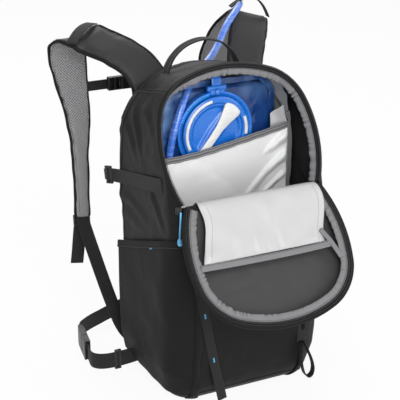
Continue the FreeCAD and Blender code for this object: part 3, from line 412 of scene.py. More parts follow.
def frames_along(points, across):
    """Across and up directions at each point of a line, square to its run."""
    points = np.asarray(points, float)
    along = unit(np.gradient(points, axis=0))
    across = np.broadcast_to(np.asarray(across, float), points.shape)
    across = unit(across - along * np.sum(across * along, axis=1, keepdims=True))
    return across, np.cross(across, along)


def section_rows(points, side, up, profile, scale):
    """A section's (across, up) pairs set at each point of a line; scale holds a pair for each point."""
    return (points[:, None, :] + side[:, None, :] * (profile[None, :, 0:1] * scale[:, None, 0:1])
            + up[:, None, :] * (profile[None, :, 1:2] * scale[:, None, 1:2]))


def swept(name, points, across, profile, scale=None):
    """A closed profile of (across, up) pairs carried along a line."""
    points = np.asarray(points, float)
    side, up = frames_along(points, across)
    profile = np.asarray(profile, float)
    scale = np.ones((len(points), 2)) if scale is None else np.asarray(scale, float)
    rows = section_rows(points, side, up, profile, scale)
    count = len(profile)
    faces = tube_faces(len(points), count)
    faces[-2] = tuple(range(count - 1, -1, -1))
    uv = laid_flat(distances(points), profile[:, 0])
    return outward(piece(name, rows.reshape(-1, 3), faces, uv))


def flat_profile(width, thick, columns=5):
    """A strip's section with rounded edges."""
    half, edge = width / 2, thick / 2
    across = np.linspace(-half + edge, half - edge, columns)
    lower = [(x, -edge) for x in across]
    upper = [(x, edge) for x in across[::-1]]
    return [*lower, (half - edge * 0.3, -edge * 0.7), (half, 0.0), (half - edge * 0.3, edge * 0.7),
            *upper, (-half + edge * 0.3, edge * 0.7), (-half, 0.0), (-half + edge * 0.3, -edge * 0.7)]


def band(name, route, width, thick, across, spacing=3.0):
    """A strip of webbing on a smooth line through its route."""
    line = evenly(smoothed(route, 8), spacing)
    return swept(name, line, across, flat_profile(width, thick))


def turned(name, profile, at, axis, segments=40):
    """A closed profile of (radius, distance along the axis) pairs turned round an axis."""
    axis = unit(axis)
    first = unit(np.cross(axis, (0.0, 0.0, 1.0) if abs(axis[2]) < 0.9 else (0.0, 1.0, 0.0)))
    second = np.cross(axis, first)
    angles = np.linspace(0.0, 2 * math.pi, segments, endpoint=False)
    ring = np.cos(angles)[:, None] * first + np.sin(angles)[:, None] * second
    profile = np.asarray(profile, float)
    points = (np.asarray(at, float) + profile[:, 1][:, None, None] * axis
              + profile[:, 0][:, None, None] * ring[None, :, :])
    rows = len(profile)
    faces = grid_faces(rows, segments, closed=True)
    is_ring = profile[0, 0] > SAME_SPOT and profile[-1, 0] > SAME_SPOT
    if is_ring:
        last = (rows - 1) * segments
        for c in range(segments):
            onward = (c + 1) % segments
            faces.append((last + c, last + onward, onward, c))
    return outward(merged(piece(name, points.reshape(-1, 3), faces)))


def block(name, low, high, place=None, bevel=0.8, segments=3):
    """A moulded block between two corners, with rounded edges, in the frame of a 4 x 4 placement."""
    low, high = np.asarray(low, float), np.asarray(high, float)
    corners = [(x, y, z) for z in (low[2], high[2]) for y in (low[1], high[1]) for x in (low[0], high[0])]
    faces = [(0, 2, 3, 1), (4, 5, 7, 6), (0, 1, 5, 4), (2, 6, 7, 3), (0, 4, 6, 2), (1, 3, 7, 5)]
    obj = piece(name, corners, faces)
    if bevel:
        modifier(obj, "BEVEL", width=bevel * MM, segments=segments, limit_method="NONE")
        settle(obj)
    if place is not None:
        set_coordinates(obj, coordinates(obj) @ place[:3, :3].T + place[:3, 3])
    return obj


def placed(at, x_dir, y_dir):
    """A placement whose X and Y run along the two directions."""
    x_dir = unit(x_dir)
    y_dir = unit(np.asarray(y_dir, float) - x_dir * np.dot(y_dir, x_dir))
    place = np.eye(4)
    place[:3, :3] = np.stack([x_dir, y_dir, np.cross(x_dir, y_dir)], axis=1)
    place[:3, 3] = at
    return place


def cad_points(*names):
    """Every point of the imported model's named nodes."""
    return np.concatenate([coordinates(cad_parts[name]) for name in names])


def hull(name, points):
    """The convex skin round a cloud of points."""
    obj = piece(name, np.unique(np.round(points, 2), axis=0), [])

    def wrap(bm):
        result = bmesh.ops.convex_hull(bm, input=bm.verts, use_existing_faces=False)
        spare = {*result["geom_interior"], *result["geom_unused"]}
        loose = [item for item in spare if isinstance(item, bmesh.types.BMVert)]
        bmesh.ops.delete(bm, geom=loose, context="VERTS")

    return edit(obj, wrap)


def remeshed(obj, voxel, smooth=2):
    """Gives a piece an even mesh, and smooths it a given number of times."""
    modifier(obj, "REMESH", mode="VOXEL", voxel_size=voxel * MM, adaptivity=0.0, use_smooth_shade=True)
    settle(obj)

    def relax(bm):
        for _ in range(smooth):
            bmesh.ops.smooth_vert(
                bm, verts=bm.verts, factor=0.5, use_axis_x=True, use_axis_y=True, use_axis_z=True)

    return edit(obj, relax)


def bisected(bm, at, direction, **settings):
    """Cuts a mesh along a plane, and gives the points and edges of the cut."""
    return bmesh.ops.bisect_plane(
        bm, geom=[*bm.verts, *bm.edges, *bm.faces], plane_co=Vector(at) * MM, plane_no=Vector(direction),
        **settings,
    )["geom_cut"]


def cut_away(obj, at, direction):
    """Removes what lies beyond a plane."""
    return edit(obj, lambda bm: bisected(bm, at, direction, clear_outer=True, dist=SAME_SPOT))


def section_line(obj, at, direction):
    """The longest line where a plane crosses a piece, as evenly spaced points."""
    bm = bmesh.new()
    bm.from_mesh(obj.data)
    found = bisected(bm, at, direction, dist=SAME_SPOT)
    edges = [item for item in found if isinstance(item, bmesh.types.BMEdge)]
    links = {}
    for edge in edges:
        for here, there in (edge.verts, reversed(edge.verts)):
            links.setdefault(here, []).append(there)
    runs = []
    seen = set()
    starts = [v for v, ends in links.items() if len(ends) == 1] + list(links)
    for start in starts:
        if start in seen:
            continue
        run = [start]
        seen.add(start)
        while True:
            onward = [v for v in links[run[-1]] if v not in seen]
            if not onward:
                break
            run.append(onward[0])
            seen.add(onward[0])
        runs.append([tuple(v.co) for v in run])
    bm.free()
    runs = [evenly(np.array(run) / MM, 4.0) for run in runs if len(run) > 6]
    return max(runs, key=len)


def surface(obj):
    """A tree for finding the nearest place on a piece."""
    bm = bmesh.new()
    bm.from_mesh(obj.data)
    tree = BVHTree.FromBMesh(bm)
    bm.free()
    return tree


def laid_on(tree, points, lift=0.0):
    """Points moved onto a surface and lifted off it, and the surface's normals there."""
    places, directions = [], []
    for point in points:
        co, normal, _, _ = tree.find_nearest(Vector(point) * MM)
        places.append(np.array(co) / MM + np.array(normal) * lift)
        directions.append(normal)
    return np.array(places), np.array(directions)


def sew(body, points, colour="thread_grey"):
    """Keeps a line of stitches to be sewn on a body once its pieces are made."""
    stitch_lines.setdefault((body, colour), []).append(evenly(points, 1.2))


def dress(obj, *looks):
    """Fills a piece's material slots with the named finishes, in order."""
    for index, name in enumerate(looks):
        material = finish_material(name)
        if index < len(obj.data.materials):
            obj.data.materials[index] = material
        else:
            obj.data.materials.append(material)


def lined(shell, thick, *looks):
    """Gives an open shell its wall, with the first finish outside and the second inside."""
    modifier(shell, "SOLIDIFY", thickness=thick * MM, offset=-1.0, material_offset=1, material_offset_rim=0)
    dress(shell, *looks)
    return settle(shell)


# The slot named for each finish, where a piece names no other.
SLOTS = {
    "nylon": "nylon_black", "stretch": "stretch_black", "binding": "grey_binding", "elastic": "elastic_grey",
    "silver": "silver_lining", "sleeve_silver": "silver_lining", "zip_tape": "zip_black",
    "zip_teeth": "buckle_black", "plastic": "buckle_black", "webbing": "webbing_black",
    "narrow_webbing": "webbing_black", "spacer": "air_mesh", "film": "reservoir_blue", "cap": "cap_blue",
    "grip": "handle_white", "rubber": "bite_rubber", "accent": "cord_blue",
}


def finish(obj, body, *replaced, slot=None, look=None):
    """Gives a piece its material and body, and hides the imported nodes that it stands for."""
    if look is not None:
        dress(obj, look)
        slot = slot or SLOTS[look]
    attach(obj, body)
    if replaced:
        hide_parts(*replaced)
    return obj


def folds(points, size, stretch=(1.0, 1.0, 1.0), seed=0.0):
    """A soft creased height between about -1 and 1 at each point."""
    heights = []
    for point in points:
        x, y, z = point * stretch
        place = Vector((x + seed, y - seed, z)) / size
        broad = noise.noise(place)
        crease = 1.0 - 2.2 * abs(noise.noise(place * 1.7 + Vector((7.1, 3.3, 1.9))))
        heights.append(0.55 * broad + 0.45 * crease)
    return np.array(heights)


# ---- outlines of the opening and the lid


def arc(start, end, radius):
    """Points on an arc of a given radius between two places, curving to its left."""
    start, end = np.array(start, float), np.array(end, float)
    chord = end - start
    length = np.linalg.norm(chord)
    height = math.sqrt(radius ** 2 - length ** 2 / 4)
    centre = (start + end) / 2 + np.array((-chord[1], chord[0])) / length * height
    first, last = (math.atan2(*(p - centre)[::-1]) for p in (start, end))
    if last < first:
        last += 2 * math.pi
    angles = np.linspace(first, last, 24)
    return centre + radius * np.stack([np.cos(angles), np.sin(angles)], axis=1)


def arch(foot, shoulder, crown, radii):
    """The arched outline from its right foot over the crown to its left foot, with its inward directions."""
    right = [foot, shoulder, crown]
    corners = [*right, *((-x, y) for x, y in reversed(right))]
    bends = (radii[0], radii[1], radii[2], radii[1], radii[0])
    parts = [arc(*ends)[1:] for ends in zip(corners, corners[1:], bends)]
    line = evenly(np.concatenate([[foot], *parts]), 2.0)
    along = unit(np.gradient(line, axis=0))
    return line, np.stack([-along[:, 1], along[:, 0]], axis=1)


RIM_ARCH = arch((103, 0), (108, 118), (66, 163), (172, 72, 179))
LID_ARCH = arch((101, 4), (113.6, 120.1), (69.3, 168), (178, 78, 185))
# How far the opening's zip tape and its binding lean back, in degrees: left side, top, right side.
TAPE_LEAN = (82, 0, 42)
BINDING_LEAN = (80, 26, 44)
FLAT = (0, 0, 0)


def on_rim(line, up):
    """Places on the opening's plane, from (across, up it) pairs and heights off it."""
    return RIM_AT + line[..., 0:1] * ACROSS + line[..., 1:2] * RIM_UP + up[..., None] * RIM_OUT


def on_lid(line, up):
    """Places on the lid's plane, from (across, down it) pairs and heights off it."""
    return HINGE + line[..., 0:1] * ACROSS + line[..., 1:2] * LID_DOWN + up[..., None] * LID_FACE


def leaned(inward, inset, up, lean):
    """Turns a section's (inwards, up) places back about the outline, by its left, top and right angles."""
    left, top, right = lean
    sideways = np.abs(inward[:, 0]) ** 1.5
    angle = np.radians(np.where(inward[:, 0] > 0.0, left, right) * sideways + top * (1.0 - sideways))[:, None]
    return inset * np.cos(angle) + up * np.sin(angle), up * np.cos(angle) - inset * np.sin(angle)


def lid_places(rows):
    """Places on the lid from (across, down it, height off it) rows."""
    rows = np.array(rows)
    return on_lid(rows[:, :2], rows[:, 2])


def arched(name, outline, place, profile, lean=FLAT):
    """A section of (inwards, up) pairs carried round an arched outline."""
    line, inward = outline
    profile = np.asarray(profile, float)
    inset, up = leaned(inward, profile[None, :, 0], profile[None, :, 1], lean)
    rows = place(line[:, None, :] + inward[:, None, :] * inset[..., None], up)
    uv = laid_flat(distances(line), profile[:, 0])
    return outward(piece(name, rows.reshape(-1, 3), tube_faces(len(line), len(profile)), uv))


def arch_line(outline, place, inset, up, lean=FLAT):
    """A line that keeps an even distance inside an arched outline."""
    line, inward = outline
    inset, up = leaned(inward, np.full((len(line), 1), inset), np.full((len(line), 1), up), lean)
    return place(line + inward * inset, up[:, 0])


def gathered(name, outline, place, inner, outer, up, seed, depth=1.7, lean=FLAT):
    """A gathered tape round an arched outline, sewn flat at its outer edge and rippled at its inner one."""
    line, inward = outline
    fine = evenly(np.concatenate([line, inward], axis=1), 1.0)
    line, inward = fine[:, :2], unit(fine[:, 2:])
    reach = distances(line)
    columns = np.linspace(0.0, 1.0, 7)
    phase = np.array([run / 11.0 + 1.8 * uneven(run / 30.0, seed, 0.0) for run in reach])
    strength = np.array([0.3 + 2.2 * abs(uneven(run / 24.0, seed + 5.0, 2.0)) for run in reach])
    ripple = np.sin(2 * math.pi * phase) * strength
    inset = (outer + (inner - outer) * columns)[None, :] + 0.3 * ripple[:, None] * columns[None, :] ** 2
    lift = up + depth * ripple[:, None] * columns[None, :] ** 1.3 + 0.9 * np.sin(math.pi * columns)[None, :]
    inset, lift = leaned(inward, inset, lift, lean)
    rows = place(line[:, None, :] + inward[:, None, :] * inset[..., None], lift)
    uv = laid_flat(reach, columns * (inner - outer))
    return thickened(piece(name, rows.reshape(-1, 3), grid_faces(len(line), len(columns)), uv), 0.9)


# ---- finishes


def give(tree, inputs, values):
    """Sets each input to a value, or links it to another node's output."""
    for key, value in values.items():
        if isinstance(value, bpy.types.NodeSocket):
            tree.links.new(value, inputs[key])
        else:
            inputs[key].default_value = value


def put(tree, kind, values=None, **settings):
    """Adds a node; values holds what each input is set or linked to."""
    node = tree.nodes.new(kind)
    for key, value in settings.items():
        setattr(node, key, value)
    give(tree, node.inputs, values or {})
    return node


def maths(tree, operation, first, second=0.0, third=None, clamp=False):
    """The result of a Math node on up to three values or links."""
    values = {0: first, 1: second}
    if third is not None:
        values[2] = third
    return put(tree, "ShaderNodeMath", values, operation=operation, use_clamp=clamp).outputs[0]


def times(tree, first, second, clamp=False):
    """Two values or links multiplied."""
    return maths(tree, "MULTIPLY", first, second, clamp=clamp)


def vector_maths(tree, operation, first, second=(0.0, 0.0, 0.0)):
    """The result of a Vector Math node on two vectors or links."""
    return put(tree, "ShaderNodeVectorMath", {0: first, 1: second}, operation=operation).outputs[0]


def new_group(name, inputs, outputs):
    """An empty shader node group: its inputs by name with their defaults, and its outputs' names."""
    tree = bpy.data.node_groups.new(name, "ShaderNodeTree")
    for label, default in inputs.items():
        tree.interface.new_socket(name=label, in_out="INPUT", socket_type=FLOAT).default_value = default
    for label in outputs:
        tree.interface.new_socket(name=label, in_out="OUTPUT", socket_type=FLOAT)
    return tree, tree.nodes.new("NodeGroupInput").outputs, tree.nodes.new("NodeGroupOutput").inputs


def woven_threads():
    """Over-and-under threads on every side of a piece, by which way its surface faces."""
    tree, given, out = new_group("Woven threads", {"Thread": 0.001}, ("Height", "Shade"))
    where = put(tree, "ShaderNodeTexCoord").outputs
    turns = maths(tree, "DIVIDE", math.pi, given["Thread"])
    turned_on = put(tree, "ShaderNodeVectorMath", {0: where["Object"], "Scale": turns}, operation="SCALE")
    wave = vector_maths(tree, "SINE", turned_on.outputs[0])
    x, y, z = put(tree, "ShaderNodeSeparateXYZ", {0: wave}).outputs
    facing = vector_maths(tree, "MULTIPLY", where["Normal"], where["Normal"])
    pairs = {0: times(tree, y, z), 1: times(tree, x, z), 2: times(tree, x, y)}
    crossing = put(tree, "ShaderNodeCombineXYZ", pairs).outputs[0]
    dot = put(tree, "ShaderNodeVectorMath", {0: facing, 1: crossing}, operation="DOT_PRODUCT")
    height = dot.outputs["Value"]
    shade = maths(tree, "ADD", times(tree, height, 0.5), 0.5)
    give(tree, out, {"Height": maths(tree, "MULTIPLY_ADD", height, 0.5), "Shade": shade})
    return tree


def soft_variation():
    """Broad cloudy change and fine flecks, as cloth has from handling and dust; the film also places its painted
    highlights by the cloud.
    """
    tree, given, out = new_group(
        "Soft variation", {"Size": 0.05, "Fleck": 0.002}, ("Cloud", "Flecks"))
    where = put(tree, "ShaderNodeTexCoord").outputs["Object"]
    for label, source, detail in (("Cloud", "Size", 3.0), ("Flecks", "Fleck", 1.0)):
        scale = maths(tree, "DIVIDE", 1.0, given[source])
        cloud = put(tree, "ShaderNodeTexNoise", {"Vector": where, "Scale": scale, "Detail": detail})
        tree.links.new(cloud.outputs["Fac"], out[label])
    return tree


def webbing_ribs():
    """Ribs along woven tape, on the piece's own UV map, with a finer raised edge."""
    tree, given, out = new_group("Webbing ribs", {"Rib": 0.0016, "Width": 0.02}, ("Height", "Edge"))
    flat = put(tree, "ShaderNodeUVMap", uv_map="lay").outputs[0]
    run, across, _ = put(tree, "ShaderNodeSeparateXYZ", {0: flat}).outputs
    turns = maths(tree, "DIVIDE", 2 * math.pi, given["Rib"])
    ribs = maths(tree, "SINE", times(tree, across, turns))
    picks = maths(tree, "SINE", times(tree, run, times(tree, turns, 1.6)))
    height = maths(tree, "ADD", ribs, times(tree, picks, 0.6))
    reach = maths(tree, "DIVIDE", maths(tree, "ABSOLUTE", across), given["Width"])
    give(tree, out, {"Height": height, "Edge": maths(tree, "GREATER_THAN", reach, 0.42)})
    return tree


def spacer_holes():
    """The open cells of spacer mesh, in staggered rows on every side of a piece."""
    tree, given, out = new_group("Spacer holes", {"Cell": 0.0024}, ("Hole", "Height"))
    cells = effect(tree, "Woven threads", Thread=given["Cell"])
    hole = times(tree, maths(tree, "SUBTRACT", cells["Shade"], 0.62), 5.0, clamp=True)
    give(tree, out, {"Hole": hole, "Height": times(tree, cells["Height"], -1.0)})
    return tree


def moulded_grain():
    """The fine spark grain and faint scuffs of moulded plastic."""
    tree, given, out = new_group("Moulded grain", {"Grain": 0.0006}, ("Height", "Scuffs"))
    where = put(tree, "ShaderNodeTexCoord").outputs["Object"]
    grain = put(tree, "ShaderNodeTexNoise", {
        "Vector": where, "Scale": maths(tree, "DIVIDE", 1.0, given["Grain"]), "Detail": 2.0})
    scuffs = put(tree, "ShaderNodeTexNoise", {
        "Vector": vector_maths(tree, "MULTIPLY", where, (1.0, 1.0, 6.0)), "Scale": 70.0, "Detail": 4.0})
    faint = maths(tree, "POWER", scuffs.outputs["Fac"], 4.0)
    give(tree, out, {"Height": grain.outputs["Fac"], "Scuffs": faint})
    return tree


GROUP_MAKERS = {
    "Woven threads": woven_threads, "Soft variation": soft_variation, "Webbing ribs": webbing_ribs,
    "Spacer holes": spacer_holes, "Moulded grain": moulded_grain,
}


def effect(tree, name, **values):
    """Places one of the shared effects in a material."""
    group = bpy.data.node_groups.get(name) or GROUP_MAKERS[name]()
    node = tree.nodes.new("ShaderNodeGroup")
    node.node_tree = group
    give(tree, node.inputs, values)
    return node.outputs


def blended(tree, amount, first, second):
    """One colour carried towards another by an amount."""
    first, second = ((*colour, 1.0) if isinstance(colour, tuple) else colour for colour in (first, second))
    return put(tree, "ShaderNodeMix", {0: amount, 6: first, 7: second}, data_type="RGBA").outputs[2]


def tinted(colour, factor):
    """A colour made lighter or darker."""
    return tuple(min(1.0, channel * factor) for channel in colour)


def blank_material(name):
    """A new material with its node tree and its shader's inputs."""
    material = bpy.data.materials.new(name)
    material.use_nodes = True
    tree = material.node_tree
    return material, tree, tree.nodes["Principled BSDF"].inputs


def link_bump(tree, shader, height, distance):
    """Turns a height into relief on a material."""
    bump = put(tree, "ShaderNodeBump", {"Height": height, "Distance": distance, "Strength": 1.0})
    tree.links.new(bump.outputs[0], shader["Normal"])


def fabric(name, colour, rough=0.62, thread=0.0011, height=0.00012, change=0.35, sheen=0.15, gloss=0.28,
           **more):
    """Woven cloth: threads in relief and tone, and a cloudy change over the whole piece."""
    material, tree, shader = blank_material(name)
    threads = effect(tree, "Woven threads", Thread=thread)
    cloud = effect(tree, "Soft variation", Size=0.045, Fleck=0.0014)
    shades = tinted(colour, 1.0 - change * 0.5), tinted(colour, 1.0 + change * 0.5)
    base = blended(tree, threads["Shade"], *shades)
    worn = blended(tree, times(tree, cloud["Cloud"], change), base, tinted(colour, 1.55))
    roughness = maths(tree, "MULTIPLY_ADD", cloud["Flecks"], 0.18, rough - 0.09, clamp=True)
    relief = maths(tree, "ADD", threads["Height"], times(tree, cloud["Flecks"], 0.5))
    link_bump(tree, shader, relief, height)
    give(tree, shader, {"Base Color": worn, "Roughness": roughness, "Sheen Weight": sheen,
                        "Sheen Roughness": 0.5, "Specular IOR Level": gloss, **more})
    return material


def tape(name, colour, width=0.02, rib=0.0016):
    """Woven tape: ribs along it and a closer edge."""
    material, tree, shader = blank_material(name)
    ribs = effect(tree, "Webbing ribs", Rib=rib, Width=width)
    cloud = effect(tree, "Soft variation", Size=0.03, Fleck=0.001)
    shade = maths(tree, "MULTIPLY_ADD", ribs["Height"], 0.22, 0.5)
    base = blended(tree, shade, tinted(colour, 0.65), tinted(colour, 1.45))
    base = blended(tree, times(tree, ribs["Edge"], 0.5), base, tinted(colour, 1.3))
    worn = blended(tree, times(tree, cloud["Cloud"], 0.4), base, tinted(colour, 1.6))
    link_bump(tree, shader, ribs["Height"], 0.00018)
    give(tree, shader, {"Base Color": worn, "Roughness": 0.66, "Sheen Weight": 0.04,
                        "Specular IOR Level": 0.25})
    return material


def moulded(name, colour, rough=0.38, grain=0.0005, **more):
    """Moulded plastic: spark grain, with faint paler scuffs."""
    material, tree, shader = blank_material(name)
    marks = effect(tree, "Moulded grain", Grain=grain)
    scuffed = blended(tree, times(tree, marks["Scuffs"], 1.4), colour, tinted(colour, 1.5))
    roughness = maths(tree, "MULTIPLY_ADD", marks["Scuffs"], 0.6, rough, clamp=True)
    link_bump(tree, shader, marks["Height"], 0.00004)
    give(tree, shader, {"Base Color": scuffed, "Roughness": roughness, "Specular IOR Level": 0.5, **more})
    return material


def spacer_mesh(name, colour):
    """Air mesh: a knitted face whose open cells are painted dark as shade."""
    material, tree, shader = blank_material(name)
    cells = effect(tree, "Spacer holes", Cell=0.0021)
    cloud = effect(tree, "Soft variation", Size=0.02, Fleck=0.0008)
    body = blended(tree, cloud["Flecks"], tinted(colour, 0.8), tinted(colour, 1.35))
    # painted shade: the open cells are darkened for the shade that lies in them
    cells_painted_shade = blended(tree, cells["Hole"], body, tinted(colour, 0.22))
    link_bump(tree, shader, cells["Height"], 0.0005)
    give(tree, shader, {"Base Color": cells_painted_shade, "Roughness": 0.8, "Sheen Weight": 0.1,
                        "Specular IOR Level": 0.3})
    return material


def ribbed_elastic(name, colour):
    """Knitted elastic with its bands running along it."""
    material, tree, shader = blank_material(name)
    ribs = effect(tree, "Webbing ribs", Rib=0.0042, Width=0.02)
    band_mask = maths(tree, "MULTIPLY_ADD", ribs["Height"], 0.45, 0.5, clamp=True)
    banded = blended(tree, band_mask, tinted(colour, 0.45), tinted(colour, 1.7))
    link_bump(tree, shader, ribs["Height"], 0.0003)
    give(tree, shader, {"Base Color": banded, "Roughness": 0.7, "Sheen Weight": 0.1})
    return material


def welded_film(name, colour):
    """Glossy film, a little cloudy, with painted highlights in pale patches to one side and near its top."""
    material, tree, shader = blank_material(name)
    cloud = effect(tree, "Soft variation", Size=0.06, Fleck=0.012)
    base = blended(tree, cloud["Cloud"], tinted(colour, 0.55), tinted(colour, 1.5))
    # painted highlight: pale patches of the cloud, strongest on the film's left side and fainter near its top,
    # stand in for the light that falls there
    highlight_patches = times(tree, maths(tree, "SUBTRACT", cloud["Cloud"], 0.42), 4.0, clamp=True)
    where = put(tree, "ShaderNodeTexCoord").outputs["Object"]
    x, _, z = put(tree, "ShaderNodeSeparateXYZ", {0: where}).outputs
    sideways = times(tree, maths(tree, "SUBTRACT", -0.028, x), 26.0, clamp=True)
    upper = times(tree, maths(tree, "SUBTRACT", z, 0.36), 18.0, clamp=True)
    lit = maths(tree, "MAXIMUM", sideways, times(tree, upper, 0.35))
    pale = blended(tree, times(tree, highlight_patches, lit), base, (0.30, 0.56, 0.92))
    flecked = blended(tree, times(tree, cloud["Flecks"], 0.25), pale, tinted(colour, 2.0))
    link_bump(tree, shader, cloud["Flecks"], 0.0012)
    give(tree, shader, {"Base Color": flecked, "Roughness": 0.2, "Coat Weight": 0.35,
                        "Coat Roughness": 0.08, "Specular IOR Level": 0.4})
    return material


def drinking_tube(name, colour):
    """The hose's glossy tubing, paler where it is scuffed."""
    material, tree, shader = blank_material(name)
    marks = effect(tree, "Moulded grain", Grain=0.002)
    scuffed = blended(tree, times(tree, marks["Scuffs"], 1.2), colour, (0.55, 0.68, 0.95))
    link_bump(tree, shader, marks["Height"], 0.00006)
    give(tree, shader, {"Base Color": scuffed, "Roughness": 0.17, "Coat Weight": 0.5,
                        "Coat Roughness": 0.1, "Specular IOR Level": 0.6})
    return material


# Each finish: its maker, the colour that it starts from, how much lighter, and the maker's own settings.
FINISHES = {
    "nylon": (fabric, "nylon", 1.0, dict(rough=0.5, thread=0.0009, height=0.0001, change=0.5, sheen=0.01,
                                         gloss=0.11)),
    "stretch": (fabric, "stretch", 1.0, dict(rough=0.7, thread=0.0015, height=0.0002, change=0.4, sheen=0.02,
                                             gloss=0.14)),
    "silver": (fabric, "lining", 1.0, dict(rough=0.4, thread=0.0007, height=0.00005, change=0.05, sheen=0.0,
                                           Metallic=0.08)),
    # the sleeve's silver is the lining lightened 1.8 times: painted light against the shade inside the bag
    "sleeve_silver": (fabric, "lining", 1.8, dict(rough=0.36, thread=0.0007, height=0.00005, change=0.04,
                                                  sheen=0.0)),
    "wall_lining": (fabric, "wall_lining", 1.0, dict(rough=0.5, thread=0.0008, change=0.2)),
    "lid_lining": (fabric, "lid_lining", 1.0, dict(rough=0.55, thread=0.0009, change=0.2, sheen=0.02,
                                                   gloss=0.2)),
    "side_lining": (fabric, "nylon", 0.7, dict(rough=0.6, thread=0.0009, change=0.3, sheen=0.0, gloss=0.1)),
    "binding": (fabric, "binding", 1.0, dict(rough=0.7, thread=0.001, height=0.00016, sheen=0.08)),
    "zip_tape": (fabric, "nylon", 0.75, dict(thread=0.0012, height=0.0002, sheen=0.01, gloss=0.12)),
    # the straps' outer faces take the nylon lightened 2.6 times: painted light for faces turned up towards the
    # lamps
    "strap_nylon": (fabric, "nylon", 2.6, dict(rough=0.5, thread=0.0009, height=0.0001, sheen=0.04,
                                               gloss=0.26)),
    "spacer": (spacer_mesh, "mesh", 1.0, {}),
    "webbing": (tape, "webbing", 1.0, {}),
    "narrow_webbing": (tape, "webbing", 1.0, dict(width=0.014, rib=0.0014)),
    "plastic": (moulded, "plastic", 1.0, {}),
    "zip_teeth": (moulded, "plastic", 1.6, dict(rough=0.3)),
    "elastic": (ribbed_elastic, "binding", 1.0, {}),
    "film": (welded_film, "film", 1.0, {}),
    "cap": (moulded, "cap", 1.0, {"rough": 0.22, "grain": 0.002, "Coat Weight": 0.4}),
    # the cap's colour lightened 2.6 times: painted highlight, for the collar ribs
    "cap_light": (moulded, "cap", 2.6, dict(rough=0.22, grain=0.002)),
    "grip": (moulded, "grip", 1.0, dict(rough=0.42)),
    "hose": (drinking_tube, "hose", 1.0, {}),
    "rubber": (moulded, "hose", 1.1, dict(rough=0.4, grain=0.001)),
    "accent": (moulded, "accent", 1.0, dict(rough=0.5, grain=0.0007)),
    "thread_grey": (moulded, (0.11, 0.11, 0.115), 1.0, dict(rough=0.7, grain=0.0004)),
    "thread_dark": (moulded, (0.045, 0.045, 0.047), 1.0, dict(rough=0.7, grain=0.0004)),
    "thread_silver": (moulded, (0.44, 0.44, 0.445), 1.0, dict(rough=0.6, grain=0.0004)),
}


def finish_material(name):
    """The finish that goes by a name, built the first time that a piece asks for it."""
    if name not in bpy.data.materials:
        maker, colour, tint, settings = FINISHES[name]
        if isinstance(colour, str):
            colour = getattr(colours(), colour)
        maker(name, tinted(colour, tint), **settings)
    return bpy.data.materials[name]


# ---- what repeats: stitches and zip teeth


def geometry_tree(name, inputs):
    """An empty geometry node tree with named inputs."""
    tree = bpy.data.node_groups.new(name, "GeometryNodeTree")
    tree.interface.new_socket(name="Geometry", in_out="INPUT", socket_type="NodeSocketGeometry")
    for label, kind, default in inputs:
        socket = tree.interface.new_socket(name=label, in_out="INPUT", socket_type=kind)
        if default is not None:
            socket.default_value = default
    tree.interface.new_socket(name="Geometry", in_out="OUTPUT", socket_type="NodeSocketGeometry")
    return tree, tree.nodes.new("NodeGroupInput").outputs, tree.nodes.new("NodeGroupOutput").inputs


def along_line_tree():
    """Sets small parts along each line of a piece, evenly spaced and turned to its run and up direction."""
    tree, given, out = geometry_tree("Parts along a line", [
        ("Part", "NodeSocketObject", None), ("Spacing", FLOAT, 0.003),
        ("Material", "NodeSocketMaterial", None),
    ])
    lines = put(tree, "GeometryNodeMeshToCurve", {"Mesh": given["Geometry"]})
    steps = put(tree, "GeometryNodeResampleCurve", {
        "Curve": lines.outputs[0], "Length": given["Spacing"]}, mode="LENGTH")
    tangent = put(tree, "GeometryNodeInputTangent").outputs[0]
    up = put(tree, "GeometryNodeInputNamedAttribute", {"Name": "up"}, data_type="FLOAT_VECTOR")
    turn = put(tree, "FunctionNodeAxesToRotation", {"Primary Axis": up.outputs[0], "Secondary Axis": tangent},
               primary_axis="Z", secondary_axis="X")
    part = put(tree, "GeometryNodeObjectInfo", {"Object": given["Part"]})
    copies = put(tree, "GeometryNodeInstanceOnPoints", {
        "Points": steps.outputs[0], "Instance": part.outputs["Geometry"], "Rotation": turn.outputs[0]})
    real = put(tree, "GeometryNodeRealizeInstances", {"Geometry": copies.outputs[0]})
    dressed = put(tree, "GeometryNodeSetMaterial", {
        "Geometry": real.outputs[0], "Material": given["Material"]})
    tree.links.new(dressed.outputs[0], out["Geometry"])
    return tree


def line_piece(name, lines, up):
    """Open lines as a mesh of edges, each point keeping the parts' up direction."""
    points = np.concatenate(lines)
    edges, start = [], 0
    for line in lines:
        edges += [(start + i, start + i + 1) for i in range(len(line) - 1)]
        start += len(line)
    mesh = bpy.data.meshes.new(name)
    mesh.from_pydata((points * MM).tolist(), edges, [])
    attribute = mesh.attributes.new("up", "FLOAT_VECTOR", "POINT")
    attribute.data.foreach_set("vector", np.tile(up, len(points)))
    obj = bpy.data.objects.new(name, mesh)
    bpy.context.scene.collection.objects.link(obj)
    return obj


def repeated(name, lines, up, part, spacing, look):
    """Copies of a small part along lines, as one plain mesh."""
    obj = line_piece(name, lines, up)
    added = obj.modifiers.new("Parts", "NODES")
    added.node_group = bpy.data.node_groups.get("Parts along a line") or along_line_tree()
    sockets = {item.name: item.identifier for item in added.node_group.interface.items_tree
               if item.item_type == "SOCKET" and item.in_out == "INPUT"}
    added[sockets["Part"]] = part
    added[sockets["Spacing"]] = spacing * MM
    added[sockets["Material"]] = finish_material(look)
    settle(obj)
    bpy.data.objects.remove(part)
    return obj


def zip_coil(name, outline, place, inset, height, up, foot, head, lean=FLAT):
    """A zip's teeth, set close together inside an arched outline."""
    line = arch_line(outline, place, inset, height, lean)
    tooth = block("tooth", (-0.45, -1.5, foot), (0.45, 1.5, head), bevel=0.0)
    return repeated(name, [line], up, tooth, 1.5, "zip_teeth")


# ---- the bag


